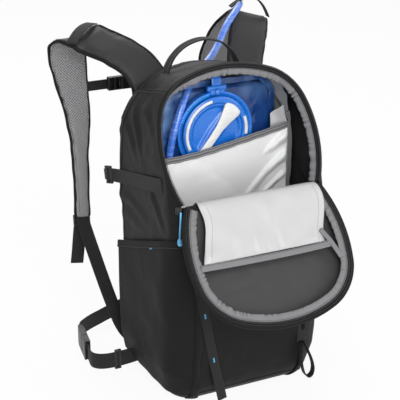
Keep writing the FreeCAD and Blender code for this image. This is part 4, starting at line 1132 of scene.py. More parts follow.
def shape_bag_shell():
    """The bag's fabric shell: panels drawn over the contents, open at the arch."""
    shell = remeshed(hull("bag_shell", cad_points(*PANELS)), SHELL_VOXEL, smooth=3)
    cut_away(shell, RIM_AT - RIM_OUT * 1.5, RIM_OUT)
    points, directions = coordinates(shell), normals(shell)
    from_rim = -(points - RIM_AT) @ RIM_OUT
    calm = ramp(from_rim - 4.0, 22.0) * ramp(points[:, 2] - 4.0, 24.0)
    calm *= np.where(points[:, 1] > 86.0, 0.45, 1.0)
    depth = sizes().fold_depth / MM
    height = folds(points, 62.0, stretch=(1.0, 1.0, 0.62)) * 1.15 + folds(points, 27.0, seed=31.0) * 0.35
    # the side panels hang in slanting folds between the compression strap and the pocket
    slant = np.sin((points[:, 2] * 0.8 + points[:, 1] * 0.55) / 13.0 + 2.2 * folds(points, 70.0, seed=9.0))
    beside = ramp(np.abs(points[:, 0]) - 100.0, 12.0) * ramp(points[:, 2] - 150.0, 60.0)
    height += 0.5 * slant * beside
    points = points + directions * (calm * height * depth + drapes(points))[:, None]
    set_coordinates(shell, points)
    return shell


def drapes(points):
    """The long soft folds of the side panels, each from a place on the side (y, z) towards another."""
    lift = np.zeros(len(points))
    on_side = ramp(np.abs(points[:, 0]) - 96.0, 12.0)
    for (start, end), width, height in DRAPES:
        start, run = np.array(start), np.subtract(end, start)
        length = np.linalg.norm(run)
        away = points[:, 1:3] - start
        along = away @ (run / length)
        beside = away @ (np.array((-run[1], run[0])) / length) + 3.0 * np.sin(along / 22.0)
        fade = ramp(along, 12.0) * ramp(length - along, 0.5 * length)
        crest, hollow = (np.exp(-(away / width) ** 2) for away in (beside, beside + 1.8 * width))
        lift += height * fade * (crest - 0.8 * hollow)
    return lift * on_side


def line_the_shell(shell):
    """Gives the shell its thickness and lining: pale behind the sleeve's plane, dark in front of it."""
    edit(shell, lambda bm: bisected(bm, (0.0, LINING_SPLIT, 0.0), (0.0, 1.0, 0.0)))
    lined(shell, 1.7, "nylon", "side_lining", "wall_lining")
    for face in shell.data.polygons:
        if face.material_index == 1 and face.center.y > LINING_SPLIT * MM:
            face.material_index = 2


def held_inside(points, room):
    """Points moved, where they need it, to lie at least a given depth inside the bag's surface."""
    kept = np.array(points, float)
    for index, point in enumerate(kept):
        co, normal, _, _ = trees["bag"].find_nearest(Vector(point) * MM)
        near, out = np.array(co) / MM, np.array(normal)
        depth = -np.dot(point - near, out)
        if depth < room:
            kept[index] = point - out * (room - depth)
    return kept


def laid_over(points, gap):
    """Points moved, where they need it, to stand at least a given height off the bag's surface."""
    return np.array([
        point + out * max(0.0, gap - np.dot(point - near, out))
        for point, near, out in zip(points, *laid_on(trees["bag"], points))
    ])


def seam_strip(name, tree, line):
    """A folded seam standing a little proud of a surface, along a line on it."""
    width, height = 3.2, 1.1
    line, directions = laid_on(tree, line)
    across = np.cross(directions, unit(np.gradient(line, axis=0)))
    profile = [(-width / 2, -0.5), (width / 2, -0.5), (width / 2, 0.25), (width * 0.3, height * 0.8),
               (0, height), (-width * 0.3, height * 0.8), (-width / 2, 0.25)]
    return swept(name, line, across, profile)


def sew_beside(tree, line, offset):
    """A line of dark stitches laid on the bag beside another line."""
    line, directions = laid_on(tree, line)
    along = unit(np.gradient(line, axis=0))
    line, _ = laid_on(tree, line + np.cross(directions, along) * offset, 0.35)
    sew("pack", line, "thread_dark")


def bar_tack(name, at, run, out, long=7.0, wide=2.2):
    """A short bar of close zigzag stitches, lying along a run on a surface."""
    turns = int(long / 0.5)
    steps = np.linspace(-long / 2, long / 2, turns)
    across = np.cross(unit(out), unit(run))
    swing = wide / 2 * np.where(np.arange(turns) % 2, 1.0, -1.0) * 0.8
    line = np.asarray(at) + steps[:, None] * unit(run) + swing[:, None] * across
    return swept(name, line, out, [
        (0.55, -0.5), (0.6, 0.3), (0.2, 0.6), (-0.2, 0.6), (-0.6, 0.3), (-0.55, -0.5)])


class HYDRATION_OT_bag(bpy.types.Operator):
    """Make the bag's panels, lining and seams"""

    bl_idname = "hydration.bag"
    bl_label = "Bag"

    def execute(self, context):
        shell = shape_bag_shell()
        tree = surface(shell)
        strips = []
        for index, (at, facing) in enumerate(BAG_SEAMS):
            line = section_line(shell, at, facing)
            strips.append(seam_strip(f"seam_{index}", tree, line))
            sew_beside(tree, line, 3.4)
        trees["bag"] = tree
        line_the_shell(shell)
        finish(shell, "pack", *PANELS, slot="nylon_black")
        finish(joined("bag_seams", strips), "pack", look="nylon")
        return {"FINISHED"}


def pocket_outline(height):
    """One side pocket's contour at a height, from its front seam round the corner to its back."""
    heights, *sections = POCKET_SECTIONS.T
    half, front, radius = (np.interp(height, heights, section) for section in sections)
    turn = np.linspace(0.0, math.pi / 2, 14)
    across, ahead = half - radius + radius * np.sin(turn), -front + radius - radius * np.cos(turn)
    corner = np.stack([across, ahead], axis=1)
    return evenly(np.concatenate([[(88.0, -front)], corner, [(half, POCKET_BACK)]]), count=46)


class HYDRATION_OT_side_pockets(bpy.types.Operator):
    """Make the stretch side pockets with their slanting elastic hems"""

    bl_idname = "hydration.side_pockets"
    bl_label = "Side Pockets"

    def execute(self, context):
        for side, word in SIDES:
            levels = np.linspace(0.0, 1.0, 70)
            top = 190.0 + (POCKET_BACK - pocket_outline(200.0)[:, 1]) * 0.375
            rows = []
            for level in levels:
                z = POCKET_FOOT + (top - POCKET_FOOT) * level
                flat = np.array([pocket_outline(z_at)[index] for index, z_at in enumerate(z)])
                rows.append(np.stack([flat[:, 0] * side, flat[:, 1], z], axis=1))
            rows = np.array(rows)
            columns = rows.shape[1]
            run = np.tile(np.linspace(0.0, POCKET_GIRTH, columns), len(rows))
            faces = grid_faces(len(rows), columns)
            if side < 0:
                faces = [face[::-1] for face in faces]
            uv = np.stack([run, rows[:, :, 2].ravel()], axis=1)
            skin = piece(f"{word}_pocket", rows.reshape(-1, 3), faces, uv)
            points, directions = coordinates(skin), normals(skin)
            place = np.tile(np.linspace(0.0, 1.0, columns), len(rows))
            level = np.repeat(levels, columns)
            calm = np.sin(math.pi * place) ** 0.5 * np.clip((1.0 - level) * 12.0, 0.3, 1.0)
            slant = np.sin((points[:, 2] - points[:, 1] * 0.7) / 15.0 + 2.0 * folds(points, 60.0, seed=4.0))
            height = 1.3 * folds(points, 48.0, stretch=(1.0, 1.0, 0.6), seed=15.0) + 0.7 * slant
            set_coordinates(skin, laid_over(points + directions * (height * calm)[:, None], 1.5))
            rim = coordinates(skin).reshape(len(rows), columns, 3)
            modifier(skin, "SOLIDIFY", thickness=1.2 * MM, offset=-1.0)
            settle(skin)
            finish(skin, "pack", f"{word}_side_pocket", look="stretch")
            self.hem(rim, side, word)
        return {"FINISHED"}

    def hem(self, rim, side, word):
        """The rolled elastic edge along the top of a pocket, and its bar tack."""
        top = rim[-1]
        down = unit(rim[-5] - rim[-1])
        middle = top + down * 5.5
        out = unit(np.cross(down, unit(np.gradient(top, axis=0))) * side)
        profile = np.array([
            (-5.5, -0.9), (5.5, -0.9), (5.9, 0.2), (5.3, 1), (0, 1.3), (-5.3, 1.1), (-6.1, 0.1)])
        sections = section_rows(middle, down, out, profile, np.ones((len(middle), 2)))
        uv = laid_flat(np.linspace(0.0, POCKET_GIRTH, len(middle)), profile[:, 0])
        faces = tube_faces(len(middle), len(profile))
        hem = outward(piece(f"{word}_pocket_hem", sections.reshape(-1, 3), faces, uv))
        finish(hem, "pack", look="stretch")
        sew("pack", middle + down * 3.6 + out * 1.5, "thread_dark")
        if side < 0:
            place = 20
            run = unit(top[place + 1] - top[place - 1])
            at = middle[place] + down[place] * 5.0 + out[place] * 1.2
            tack = bar_tack("pocket_tack", at, run, out[place], long=6.4, wide=1.6)
            finish(tack, "pack", look="accent")


class HYDRATION_OT_opening(bpy.types.Operator):
    """Make the zip rim and the gathered binding round the opening"""

    bl_idname = "hydration.opening"
    bl_label = "Opening"

    def execute(self, context):
        rim = arched("opening_zip_rim", RIM_ARCH, on_rim, [
            (-1.4, -3.2), (-2.2, -1.4), (-2, 0.6), (-0.8, 1.8), (1, 2.1), (2.6, 1.2), (4.6, 0.9), (5.2, 0.5),
            (5.2, -0.2), (3, -0.6), (1.6, -3.2),
        ], lean=TAPE_LEAN)
        finish(rim, "pack", "opening_zip_tape", look="zip_tape")
        tape = gathered(
            "opening_gather", RIM_ARCH, on_rim, 14.6, 3.6, -1.0, seed=3.0, depth=1.9, lean=BINDING_LEAN)
        finish(tape, "pack", "opening_binding", look="binding")
        sew("pack", arch_line(RIM_ARCH, on_rim, 6.4, 0.5, BINDING_LEAN), "thread_grey")
        sew("pack", arch_line(RIM_ARCH, on_rim, 2.9, 1.5, TAPE_LEAN), "thread_dark")
        coil = zip_coil("opening_zip_teeth", RIM_ARCH, on_rim, -1.0, 2.0, RIM_OUT, -0.4, 0.6, TAPE_LEAN)
        finish(coil, "pack", slot="zip_black")
        return {"FINISHED"}


# ---- the lid


class HYDRATION_OT_lid(bpy.types.Operator):
    """Make the lid's shell, zip rim, binding and inner pocket"""

    bl_idname = "hydration.lid"
    bl_label = "Lid"

    def execute(self, context):
        shell = remeshed(hull("lid_shell", cad_points("lid_panel")), 2.6, smooth=2)
        cut_away(shell, HINGE - LID_FACE * 2.4, LID_FACE)
        points, directions = coordinates(shell), normals(shell)
        below = -(points - HINGE) @ LID_FACE
        calm = ramp(below - 2.0, 8.0)
        behind = ramp(below - 4.0, 18.0)[:, None]
        down = ((points - HINGE) @ LID_DOWN)[:, None]
        points += behind * (-0.075 * points[:, 0:1] * ACROSS - 0.1 * np.maximum(down - 70.0, 0.0) * LID_DOWN)
        set_coordinates(shell, points + directions * (calm * 1.5 * folds(points, 46.0, seed=50.0))[:, None])
        finish(lined(shell, 1.6, "nylon", "lid_lining"), "lid", "lid_panel", slot="nylon_black")

        rim = arched("lid_zip_rim", LID_ARCH, on_lid, [
            (-1.2, -3.6), (-2.4, -1.6), (-2.2, 0.8), (-0.6, 2.2), (1.6, 2.4), (3.2, 1.5), (6.4, 1.2), (7.4, 0.7),
            (7.4, -0.1), (3, -0.6), (1.6, -3.6),
        ])
        finish(rim, "lid", "lid_zip_tape", look="zip_tape")
        coil = zip_coil("lid_zip_teeth", LID_ARCH, on_lid, 5.4, 1.9, LID_FACE, -0.5, 0.5)
        finish(coil, "lid", slot="zip_black")
        tape = gathered("lid_gather", LID_ARCH, on_lid, 17.2, 6.4, 0.2, seed=8.0, depth=1.7)
        finish(tape, "lid", "lid_binding", look="binding")
        sew("lid", arch_line(LID_ARCH, on_lid, 8.8, 1.8), "thread_grey")
        sew("lid", arch_line(LID_ARCH, on_lid, 2.2, 2.7), "thread_dark")
        self.inner_pocket()
        return {"FINISHED"}

    def inner_pocket(self):
        """The pale pocket panel rolled over the fold, its grey hem and the gusset beside it."""
        # down the lid from the hinge, and off its plane towards the opening
        spine = evenly(smoothed([
            (1.6, -12.8), (-1.2, -4), (-0.4, 2), (4, 6.3), (14, 7.4), (30, 6), (52, 3.6), (70, 2),
            (82.6, 1),
        ], 6), 1.9)
        # how far the panel reaches to each side as it goes down
        reach = smoothed([(-4.0, -84.0, 90.0), (6.0, -84.5, 95.0), (22.0, -82.0, 98.5), (38.0, -83.0, 95.5),
                          (56, -88, 89), (72, -93.5, 84.5), (86, -98, 84)], 6)
        across = np.linspace(-1.0, 1.0, 96)
        rows = []
        for down, off in spine:
            low = max(0.0, (down - 46.0) / 36.0)
            left, right = (np.interp(down, reach[:, 0], reach[:, column]) for column in (1, 2))
            x = (left + right) / 2 + across * (right - left) / 2
            gather = 2.3 * low * (0.45 + 0.55 * np.abs(across) ** 1.5)
            pucker = gather * np.sin(x / 4.4 + 2.6 * np.sin(x / 19.0))
            slack = np.array([2.6 * uneven(v / 26.0, down / 30.0, 4.0) for v in x])
            edge = 1.6 * np.exp(-((1.0 - np.abs(across)) * 12.0) ** 2)
            flat_end = min(1.0, max(0.25, (84.0 - down) / 9.0))
            lift = off + (pucker + slack * ramp(down + 2.0, 22.0)) * flat_end - edge
            rows.append(on_lid(np.stack([x, np.full(len(x), down)], axis=1), np.maximum(lift, -12.8)))
        rows = np.array(rows)
        uv = laid_flat(np.arange(len(rows)) * 1.9, across * 91.0)[:, ::-1]
        panel = piece("lid_pocket", rows.reshape(-1, 3), grid_faces(len(rows), len(across)), uv)
        thickened(panel, 0.8)
        finish(panel, "lid", "lid_pocket_panel", look="silver")
        for column in (5, -6):
            sew("lid", rows[12:, column] + LID_FACE * 0.7, "thread_silver")

        line = smoothed(lid_places([
            (-103, 86.5, 1.9), (-60, 87.6, 1.9), (0, 88.4, 1.9), (50, 88.2, 1.9), (88, 87, 1.9)]), 14)
        hem = swept("lid_pocket_edge", line, LID_DOWN, flat_profile(9.0, 2.0))
        finish(hem, "lid", "lid_pocket_hem", look="binding")
        sew("lid", line - LID_DOWN * 3.0 + LID_FACE * 1.3, "thread_grey")

        route = lid_places([(80, 66, 3), (90, 84, 2.6), (100, 108, 1.2)])
        gusset = evenly(smoothed(route, 8), 2.0)
        strip = swept("lid_gusset", gusset, ACROSS, flat_profile(7.0, 1.6))
        finish(strip, "lid", look="binding")


class HYDRATION_OT_hinge_fabric(bpy.types.Operator):
    """Make the strip of fabric that joins the lid to the bag along the fold"""

    bl_idname = "hydration.hinge_fabric"
    bl_label = "Hinge Fabric"

    def execute(self, context):
        spine = evenly(smoothed([
            (-96.4, 296), (-97.6, 301), (-99.2, 303.2), (-100.8, 301.6), (-103.4, 297.6)], 6), 0.8)
        across = np.linspace(-100.0, 100.0, 100)
        rows = np.array([[(x, y, z) for x in across] for y, z in spine])
        rows[..., 1] += np.array([0.4 * uneven(x / 16.0, 2.0, 1.0) for x in across])
        strip = piece("hinge_fabric", rows.reshape(-1, 3), grid_faces(len(spine), len(across)))
        thickened(strip, 1.0)
        dress(strip, "nylon")
        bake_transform(strip)
        return {"FINISHED"}


# ---- sleeve and reservoir


def sleeve_height(x):
    """The height of the sleeve's hem at a place across the bag."""
    return np.interp(x, *SLEEVE_HEM)


def sleeve_push(x, z):
    """How far the slack sleeve stands forward: long folds fall from its upper right corner to its left."""
    run = np.array((-0.74, -0.67))
    cross = np.array((0.67, -0.74))
    push = 1.2 * uneven(x / 42.0, z / 48.0, 0.0) + 0.5 * uneven(x / 15.0, z / 15.0, 8.0)
    for start, width, height, length in (
        ((116, 349), 19, 9, 88), ((116, 320), 21, 11, 112), ((116, 290), 16, 9, 90),
        ((112, 266), 15, 7, 80), ((60, 330), 12, 2, 60),
    ):
        away = np.array((x, z)) - start
        along, beside = away @ run, away @ cross
        along_fade = ramp(along, 14.0) * ramp(length - along, 0.6 * length)
        bend = beside + 4.0 * math.sin(along / 30.0)
        rise = np.clip(1.0 + bend / (0.35 * width) if bend < 0.0 else 1.0 - bend / width, 0.0, 1.0)
        push += height * along_fade * (rise * rise * (3.0 - 2.0 * rise) - 0.25)
    under_hem = sleeve_height(x) - 13.0 - z
    pucker = math.sin(x / 2.9 + 1.7 * math.sin(x / 13.0)) * math.exp(-max(0.0, under_hem) / 13.0)
    return push + 0.9 * pucker


class HYDRATION_OT_sleeve(bpy.types.Operator):
    """Make the pale reservoir sleeve, its elastic hem and side binding"""

    bl_idname = "hydration.sleeve"
    bl_label = "Reservoir Sleeve"

    def execute(self, context):
        columns, levels = 130, 150
        half, foot, face = 113.6, 22.0, 5.2
        across = np.linspace(-half, half, columns)
        edge = ramp(half - np.abs(across), 9.0)
        rows = []
        for level in np.linspace(0.0, 1.0, levels):
            z = foot + (sleeve_height(across) - 9.0 - foot) * level
            y = np.array([face - min(max(sleeve_push(a, b), -1.6), 10.0) for a, b in zip(across, z)])
            rows.append(np.stack([across, face + (y - face) * edge, z], axis=1))
        rows = np.array(rows)
        uv = rows[..., (0, 2)].reshape(-1, 2)
        panel = thickened(piece("sleeve", rows.reshape(-1, 3), grid_faces(levels, columns), uv), 0.7)
        # painted light: the sleeve takes the lightened copy of the silver lining
        finish(panel, "pack", "reservoir_sleeve", look="sleeve_silver")
        line = np.stack([across, np.full(columns, 4.4), sleeve_height(across) - 4.8], axis=1)
        line[:, 1] += 0.5 * np.sin(across / 4.1)
        hem = swept("sleeve_elastic", line, (0.0, 0.0, 1.0), flat_profile(9.6, 2.6, columns=9))
        finish(hem, "pack", "sleeve_hem", look="elastic")
        corner = (112.9, 2.4, sleeve_height(113.0) + 3.0)
        up = evenly([(112.6, 2.6, 24.0), (112.8, 2.2, 200.0), corner, (108.0, 3.4, 374.0)], 2.0)
        up[:, 0] += [0.9 * uneven(0.0, z / 14.0, 3.0) for z in up[:, 2]]
        side = swept("sleeve_side_binding", up, (1.0, 0.0, 0.0), flat_profile(8.0, 1.8))
        finish(side, "pack", look="binding")
        sew("pack", up + (-2.0, -1.2, 0.0), "thread_grey")
        columns, levels = 14, 16
        rows = []
        for level in np.linspace(0.0, 1.0, levels):
            near, far = (88.0, 17.0, 348.0 + 22.0 * level), (111.5 - 9.0 * level, 7.0, 350.0 + 34.0 * level)
            rows.append(np.linspace(near, far, columns))
        rows = np.array(rows)
        rows[..., 1] += 1.2 * np.sin(rows[..., 0] / 4.0 + rows[..., 2] / 9.0)
        gusset = thickened(piece("sleeve_gusset", rows.reshape(-1, 3), grid_faces(levels, columns)), 0.7)
        finish(gusset, "pack", look="silver")
        return {"FINISHED"}


class HYDRATION_OT_reservoir(bpy.types.Operator):
    """Make the reservoir, its collar, screw cap, handle bar and hanger"""

    bl_idname = "hydration.reservoir"
    bl_label = "Reservoir"

    def execute(self, context):
        corners = [(x, y, z) for x in (-94.0, 94.0) for y in (27.0, 40.0) for z in (392.0,)]
        corners += [(x, 28.0, 414.0) for x in (-88.0, 88.0)]
        cloud = np.concatenate([cad_points("reservoir_bag"), corners])
        bag = remeshed(hull("reservoir", cloud), 3.2, smooth=2)
        points, directions = coordinates(bag), normals(bag)
        near_cap = np.hypot(points[:, 0], points[:, 2] - COLLAR_HEIGHT) < 64.0
        height = np.where(near_cap, 0.3, 1.0) * 1.6 * folds(points, 44.0, seed=70.0)
        high_up = ramp(points[:, 2] - 370.0, 25.0)
        height += 1.3 * folds(points, 22.0, stretch=(1.0, 1.0, 0.5), seed=77.0) * high_up
        points = points + directions * np.minimum(height, 1.4)[:, None]
        set_coordinates(bag, held_inside(points, 4.5))
        finish(bag, "pack", "reservoir_bag", look="film")
        self.weld()

        at = np.array((0.0, 0.0, COLLAR_HEIGHT))
        front = (0.0, -1.0, 0.0)
        collar = turned("collar", [
            (47, -24), (57, -24), (57.6, -19), (56.4, -16.6), (58, -15.4), (58, -13.2), (56, -12.6),
            (53.6, -13.4), (52.6, -14.6), (47, -14.6),
        ], at, front, segments=96)
        finish(collar, "pack", "reservoir_collar", look="cap")
        cap = turned("cap", [
            (40, -12.4), (40.2, -11), (41.6, -9.6), (43, -9), (49, -9.2), (50.6, -10.2), (51, -12.4),
            (46, -12.7), (45.4, -20), (43.2, -20), (42.8, -16.4), (40, -16.4),
        ], at, front, segments=96)
        cap = joined("cap", [sharpen(cap), self.dished_floor(at)])
        finish(cap, "cap", "reservoir_cap", look="cap")
        # painted highlight: ribs in the lightened cap colour along the collar's upper left, where the light
        # catches it
        turns = np.radians(np.linspace(104.0, 158.0, 40))
        ring = at + np.stack([54.6 * np.cos(turns), np.full(40, 12.9), 54.6 * np.sin(turns)], axis=1)
        rib = block("rib", (-0.7, -1.9, -0.5), (0.7, 1.9, 0.8), bevel=0.0)
        finish(repeated("collar_ribs", [ring], front, rib, 2.9, "cap_light"), "pack", slot="cap_blue")
        self.grip(at)
        self.hanger()
        return {"FINISHED"}

    def weld(self):
        """The flat welded margin along the top and sides of the reservoir's film."""
        half, top, radius, width = 90.0, 419.0, 9.0, 9.0
        turn = np.linspace(0.0, math.pi / 2, 8)
        across, up = half - radius + radius * np.cos(turn), top - radius + radius * np.sin(turn)
        corner = np.stack([across, up], axis=1)
        edge = np.concatenate([[(half, 120.0)], corner, corner[::-1] * (-1.0, 1.0), [(-half, 120.0)]])
        line = evenly(edge, 3.0)
        wave = np.array([1.5 * uneven(x / 24.0, z / 24.0, 6.0) for x, z in line])
        line = np.stack([line[:, 0], 26.5 + wave, line[:, 1]], axis=1)
        inward = unit(np.cross(np.gradient(line, axis=0), (0.0, 1.0, 0.0)))
        line = held_inside(line - inward * (width / 2), 8.0)
        margin = swept("film_weld", line, inward, flat_profile(width, 1.3))
        finish(margin, "pack", look="film")

    def dished_floor(self, at):
        """The cap's floor, with a hollow for the fingers on either side of the handle bar."""
        rings, segments = 27, 96
        turn = math.radians(BAR_TURN)
        angles = np.linspace(0.0, 2 * math.pi, segments, endpoint=False)
        radii = np.linspace(0.0, 40.4, rings)
        x, z = radii[:, None] * np.cos(angles), radii[:, None] * np.sin(angles)
        beside = np.abs(x * math.cos(turn) - z * math.sin(turn))
        along = x * math.sin(turn) + z * math.cos(turn)
        inner = ramp(beside - 8.5 + 0.0028 * along ** 2, 3.4)
        outer = ramp(37.6 - radii[:, None], 3.0)
        lens = inner * inner * (3.0 - 2.0 * inner) * outer * outer * (3.0 - 2.0 * outer)
        front = np.stack([x, 11.4 + 3.4 * lens, z], axis=-1)
        back = np.stack([x[-1], np.full(segments, 16.2), z[-1]], axis=-1)
        points = np.concatenate([front.reshape(-1, 3), back]) + at
        under = tuple(range(rings * segments, (rings + 1) * segments))
        faces = [*grid_faces(rings + 1, segments, closed=True), under]
        return outward(merged(piece("cap_floor", points, faces)))

    def grip(self, at):
        """The handle bar across the cap, and pale arcs on its rim that are painted highlights."""
        turn = math.radians(BAR_TURN)
        across = np.array((math.cos(turn), 0.0, -math.sin(turn)))
        up = np.array((math.sin(turn), 0.0, math.cos(turn)))
        left = [(-5.6, -41.0), (-6.0, -36.0), (-5.6, -8.0), (-6.2, 6.0), (-8.6, 19.0), (-12.0, 31.0),
                (-14.2, 38), (-12.6, 42), (-6, 44.2)]
        right = [(-x, y) for x, y in reversed(left)]
        outline = evenly([*left, (0.0, 44.8), *right, left[0]], 1.6)[:-1]
        levels = [(1.0, -10.9), (1.0, -9.0), (0.96, -8.2), (0.86, -7.8)]
        rows = []
        for shrink, depth in levels:
            flat = outline * (shrink, 1.0 - (1.0 - shrink) * 0.25)
            rows.append(at + flat[:, 0:1] * across + flat[:, 1:2] * up + np.array((0.0, -depth, 0.0)))
        bar = outward(piece("cap_grip", np.concatenate(rows), tube_faces(len(rows), len(outline))))
        arcs = [bar]
        # painted highlight: two pale arcs in the grip's colour on the cap's rim, at its upper left and its
        # right, where the light glints
        for number, (first, last) in enumerate(((100.0, 206.0), (350.0, 383.0))):
            angles = np.radians(np.linspace(first, last, 40))
            line = at + np.stack([45.8 * np.cos(angles), np.full(40, 8.9), 45.8 * np.sin(angles)], axis=1)
            arcs.append(swept(f"ring_inlay_{number}", line, (0.0, 1.0, 0.0), [
                (-0.9, -2.1), (0.6, -2.3), (0.6, 2.3), (-0.9, 2.1)]))
        finish(joined("cap_grip", arcs), "cap", "cap_handle", look="grip")

    def hanger(self):
        """The clip over the reservoir's top edge and the strap that holds it up."""
        route = [(2.0, 16.0, 422.0), (2.0, 17.0, 430.0), (2.4, 22.0, 441.0), (3.0, 30.0, 451.0)]
        strap = band("hanger_strap", route, 15.0, 1.4, (1.0, 0.0, 0.0), 1.5)
        clip = block("hanger_clip", (-13.0, 13.4, 414.5), (17.0, 20.5, 422.5), bevel=2.2)
        lip = block("hanger_lip", (-9.0, 11.6, 410.0), (13.0, 15.4, 417.5), bevel=1.6)
        ring = turned("hanger_stud", [(0.0, 0.0), (4.4, 0.0), (4.6, 1.4), (3.4, 2.4), (0.0, 2.6)],
                      (2, 12, 413.8), (0, -1, 0), segments=28)
        finish(joined("hanger", [strap, clip, lip, ring]), "pack", "reservoir_hanger", look="cap")


# ---- drinking hose


def cord_curve(name, route, diameter, look):
    """A round cord on one smooth line through its route."""
    curve = bpy.data.curves.new(name, "CURVE")
    curve.dimensions = "3D"
    spline = curve.splines.new("NURBS")
    spline.points.add(len(route) - 1)
    for point, place in zip(spline.points, route):
        point.co = (*(Vector(place) * MM), 1.0)
    spline.order_u = 3
    spline.use_endpoint_u = True
    spline.resolution_u = 10
    curve.bevel_depth = diameter / 2
    curve.bevel_resolution = 6
    curve.use_fill_caps = True
    curve.materials.append(finish_material(look))
    obj = bpy.data.objects.new(name, curve)
    bpy.context.scene.collection.objects.link(obj)
    return obj


class HYDRATION_OT_hose(bpy.types.Operator):
    """Make the drinking hose with its elbow, port, shut-off valve and bite valve"""

    bl_idname = "hydration.hose"
    bl_label = "Drinking Hose"

    def execute(self, context):
        diameter = sizes().hose_diameter
        hose = cord_curve("hose", HOSE_ROUTE, diameter, "hose")
        top, before = np.array(HOSE_ROUTE[-1]), np.array(HOSE_ROUTE[-2])
        axis = unit(top - before)
        body = turned("valve", [
            (0, -3), (6.4, -3), (7, -1.6), (7.2, 0), (7.8, 1.6), (8, 4), (8, 28), (7.4, 31.6),
            (6, 34), (5.5, 35), (5.5, 45.6), (0, 46),
        ], top, axis, segments=48)
        bite = turned("bite_piece", [
            (0, 46.4), (5.7, 45.8), (5.7, 38.2), (8.6, 38), (9.6, 39.4), (9.4, 43), (8.3, 46), (8.6, 52),
            (9.8, 58), (10, 62), (9.2, 66), (6.4, 67.8), (0, 68),
        ], top, axis, segments=48)
        finish(sharpen(body), "pack", "valve_body", look="grip")
        finish(bite, "pack", "bite_valve", look="rubber")
        side = unit(np.cross(axis, (1.0, 0.0, 0.0)))
        lever_at = top + axis * 17.0 - side * 8.6
        hub = turned("lever", [
            (0, 0), (5.8, 0), (6, 0.6), (6, 2.4), (5.2, 3), (2.4, 3), (2, 2.4), (0, 2.4),
        ], lever_at, -side)
        lever = joined("lever", [hub, self.arm(lever_at)])
        finish(lever, "lever", "shutoff_lever", look="cap")
        elbow_at = np.array(HOSE_ROUTE[0])
        boss = turned("elbow", [
            (0, 0), (9, 0), (9, 2), (7.4, 2.6), (7.2, 8.6), (6, 10), (0, 10),
        ], (elbow_at[0], 20.5, 98.0), (0.0, -1.0, 0.0))
        spigot = turned("spigot", [
            (0, 0), (5.6, 0), (6.5, 1.6), (6.5, 6), (5.9, 6.6), (5.9, 9), (6.5, 9.6), (6.5, 12),
            (5.9, 12.6), (5.9, 15), (6.5, 15.6), (6.3, 17.6), (5.1, 18), (0, 18),
        ], (elbow_at[0], elbow_at[1], 98.0), (0.0, 0.0, 1.0))
        finish(joined("elbow", [boss, spigot]), "pack", "hose_elbow", look="cap")
        finish(hose, "pack", "drinking_hose", slot="hose_blue")
        flange = turned("port_flange", [
            (6.2, 0.2), (10.2, 0.2), (10.5, 1.4), (9.6, 2.9), (7.4, 3.2), (6.2, 2.4),
        ], (18.0, 92.0, 426.0), (0.0, 1.0, 0.0))
        finish(flange, "pack", "hose_port", look="plastic")
        return {"FINISHED"}

    def arm(self, at):
        """The lever's flat arm, from its hub past the middle of the lever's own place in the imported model."""
        low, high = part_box("shutoff_lever")
        centre = (np.array(low) + np.array(high)) / 2 / MM
        line = evenly([at, at + (centre - at) * 1.55], 3.0)
        return swept("lever_arm", line, (1.0, 0.0, 0.0), flat_profile(5.0, 2.4))


# ---- shoulder straps


def strap_line(side):
    """Centre, across, outward direction and width all along a shoulder strap."""
    rows = smoothed(STRAPS[side], STRAP_SPANS)
    points = rows[:, :3]
    along = unit(np.gradient(points, axis=0))
    across = np.stack([np.ones(len(rows)), np.zeros(len(rows)), -side * rows[:, 4]], axis=1)
    across = unit(across - along * np.sum(across * along, axis=1, keepdims=True))
    return points, across, unit(np.cross(across, along)), rows[:, 3]


def crowned_section():
    """The rounded section of a padded strap: half width 1, its faces swelling towards the middle."""
    thick, crown = 7.0, 0.6
    across = np.linspace(-1.0, 1.0, 9)
    swell = crown * (1.0 - across ** 2)
    under = [(x, -thick / 2 - s) for x, s in zip(across * 0.93, swell)]
    over = [(x, thick / 2 + s) for x, s in zip(across[::-1] * 0.93, swell[::-1])]
    return np.array([*under, (1.0, 0.0), *over, (-1.0, 0.0)])


def puffed(obj, swell):
    """Swells a padded piece with cloth under pressure, holding each point within a short reach."""
    scene = bpy.context.scene
    start = coordinates(obj)
    cloth = obj.modifiers.new("Swell", "CLOTH")
    for key, value in (
        ("use_pressure", True), ("uniform_pressure_force", 4), ("quality", 5), ("mass", 0.3),
        ("tension_stiffness", 15), ("compression_stiffness", 15), ("bending_stiffness", 0.6),
    ):
        setattr(cloth.settings, key, value)
    cloth.settings.effector_weights.gravity = 0.0
    cloth.point_cache.frame_start, cloth.point_cache.frame_end = 1, SWELL_FRAMES
    for step in range(1, SWELL_FRAMES + 1):
        scene.frame_set(step)
    graph = bpy.context.evaluated_depsgraph_get()
    moved = np.empty(len(start) * 3)
    obj.evaluated_get(graph).data.vertices.foreach_get("co", moved)
    shift = moved.reshape(-1, 3) / MM - start
    reach = np.linalg.norm(shift, axis=1, keepdims=True)
    shift *= np.minimum(1.0, swell / MM / np.maximum(reach, 1e-6))
    obj.modifiers.clear()
    scene.frame_set(1)
    set_coordinates(obj, start + shift)
    return obj


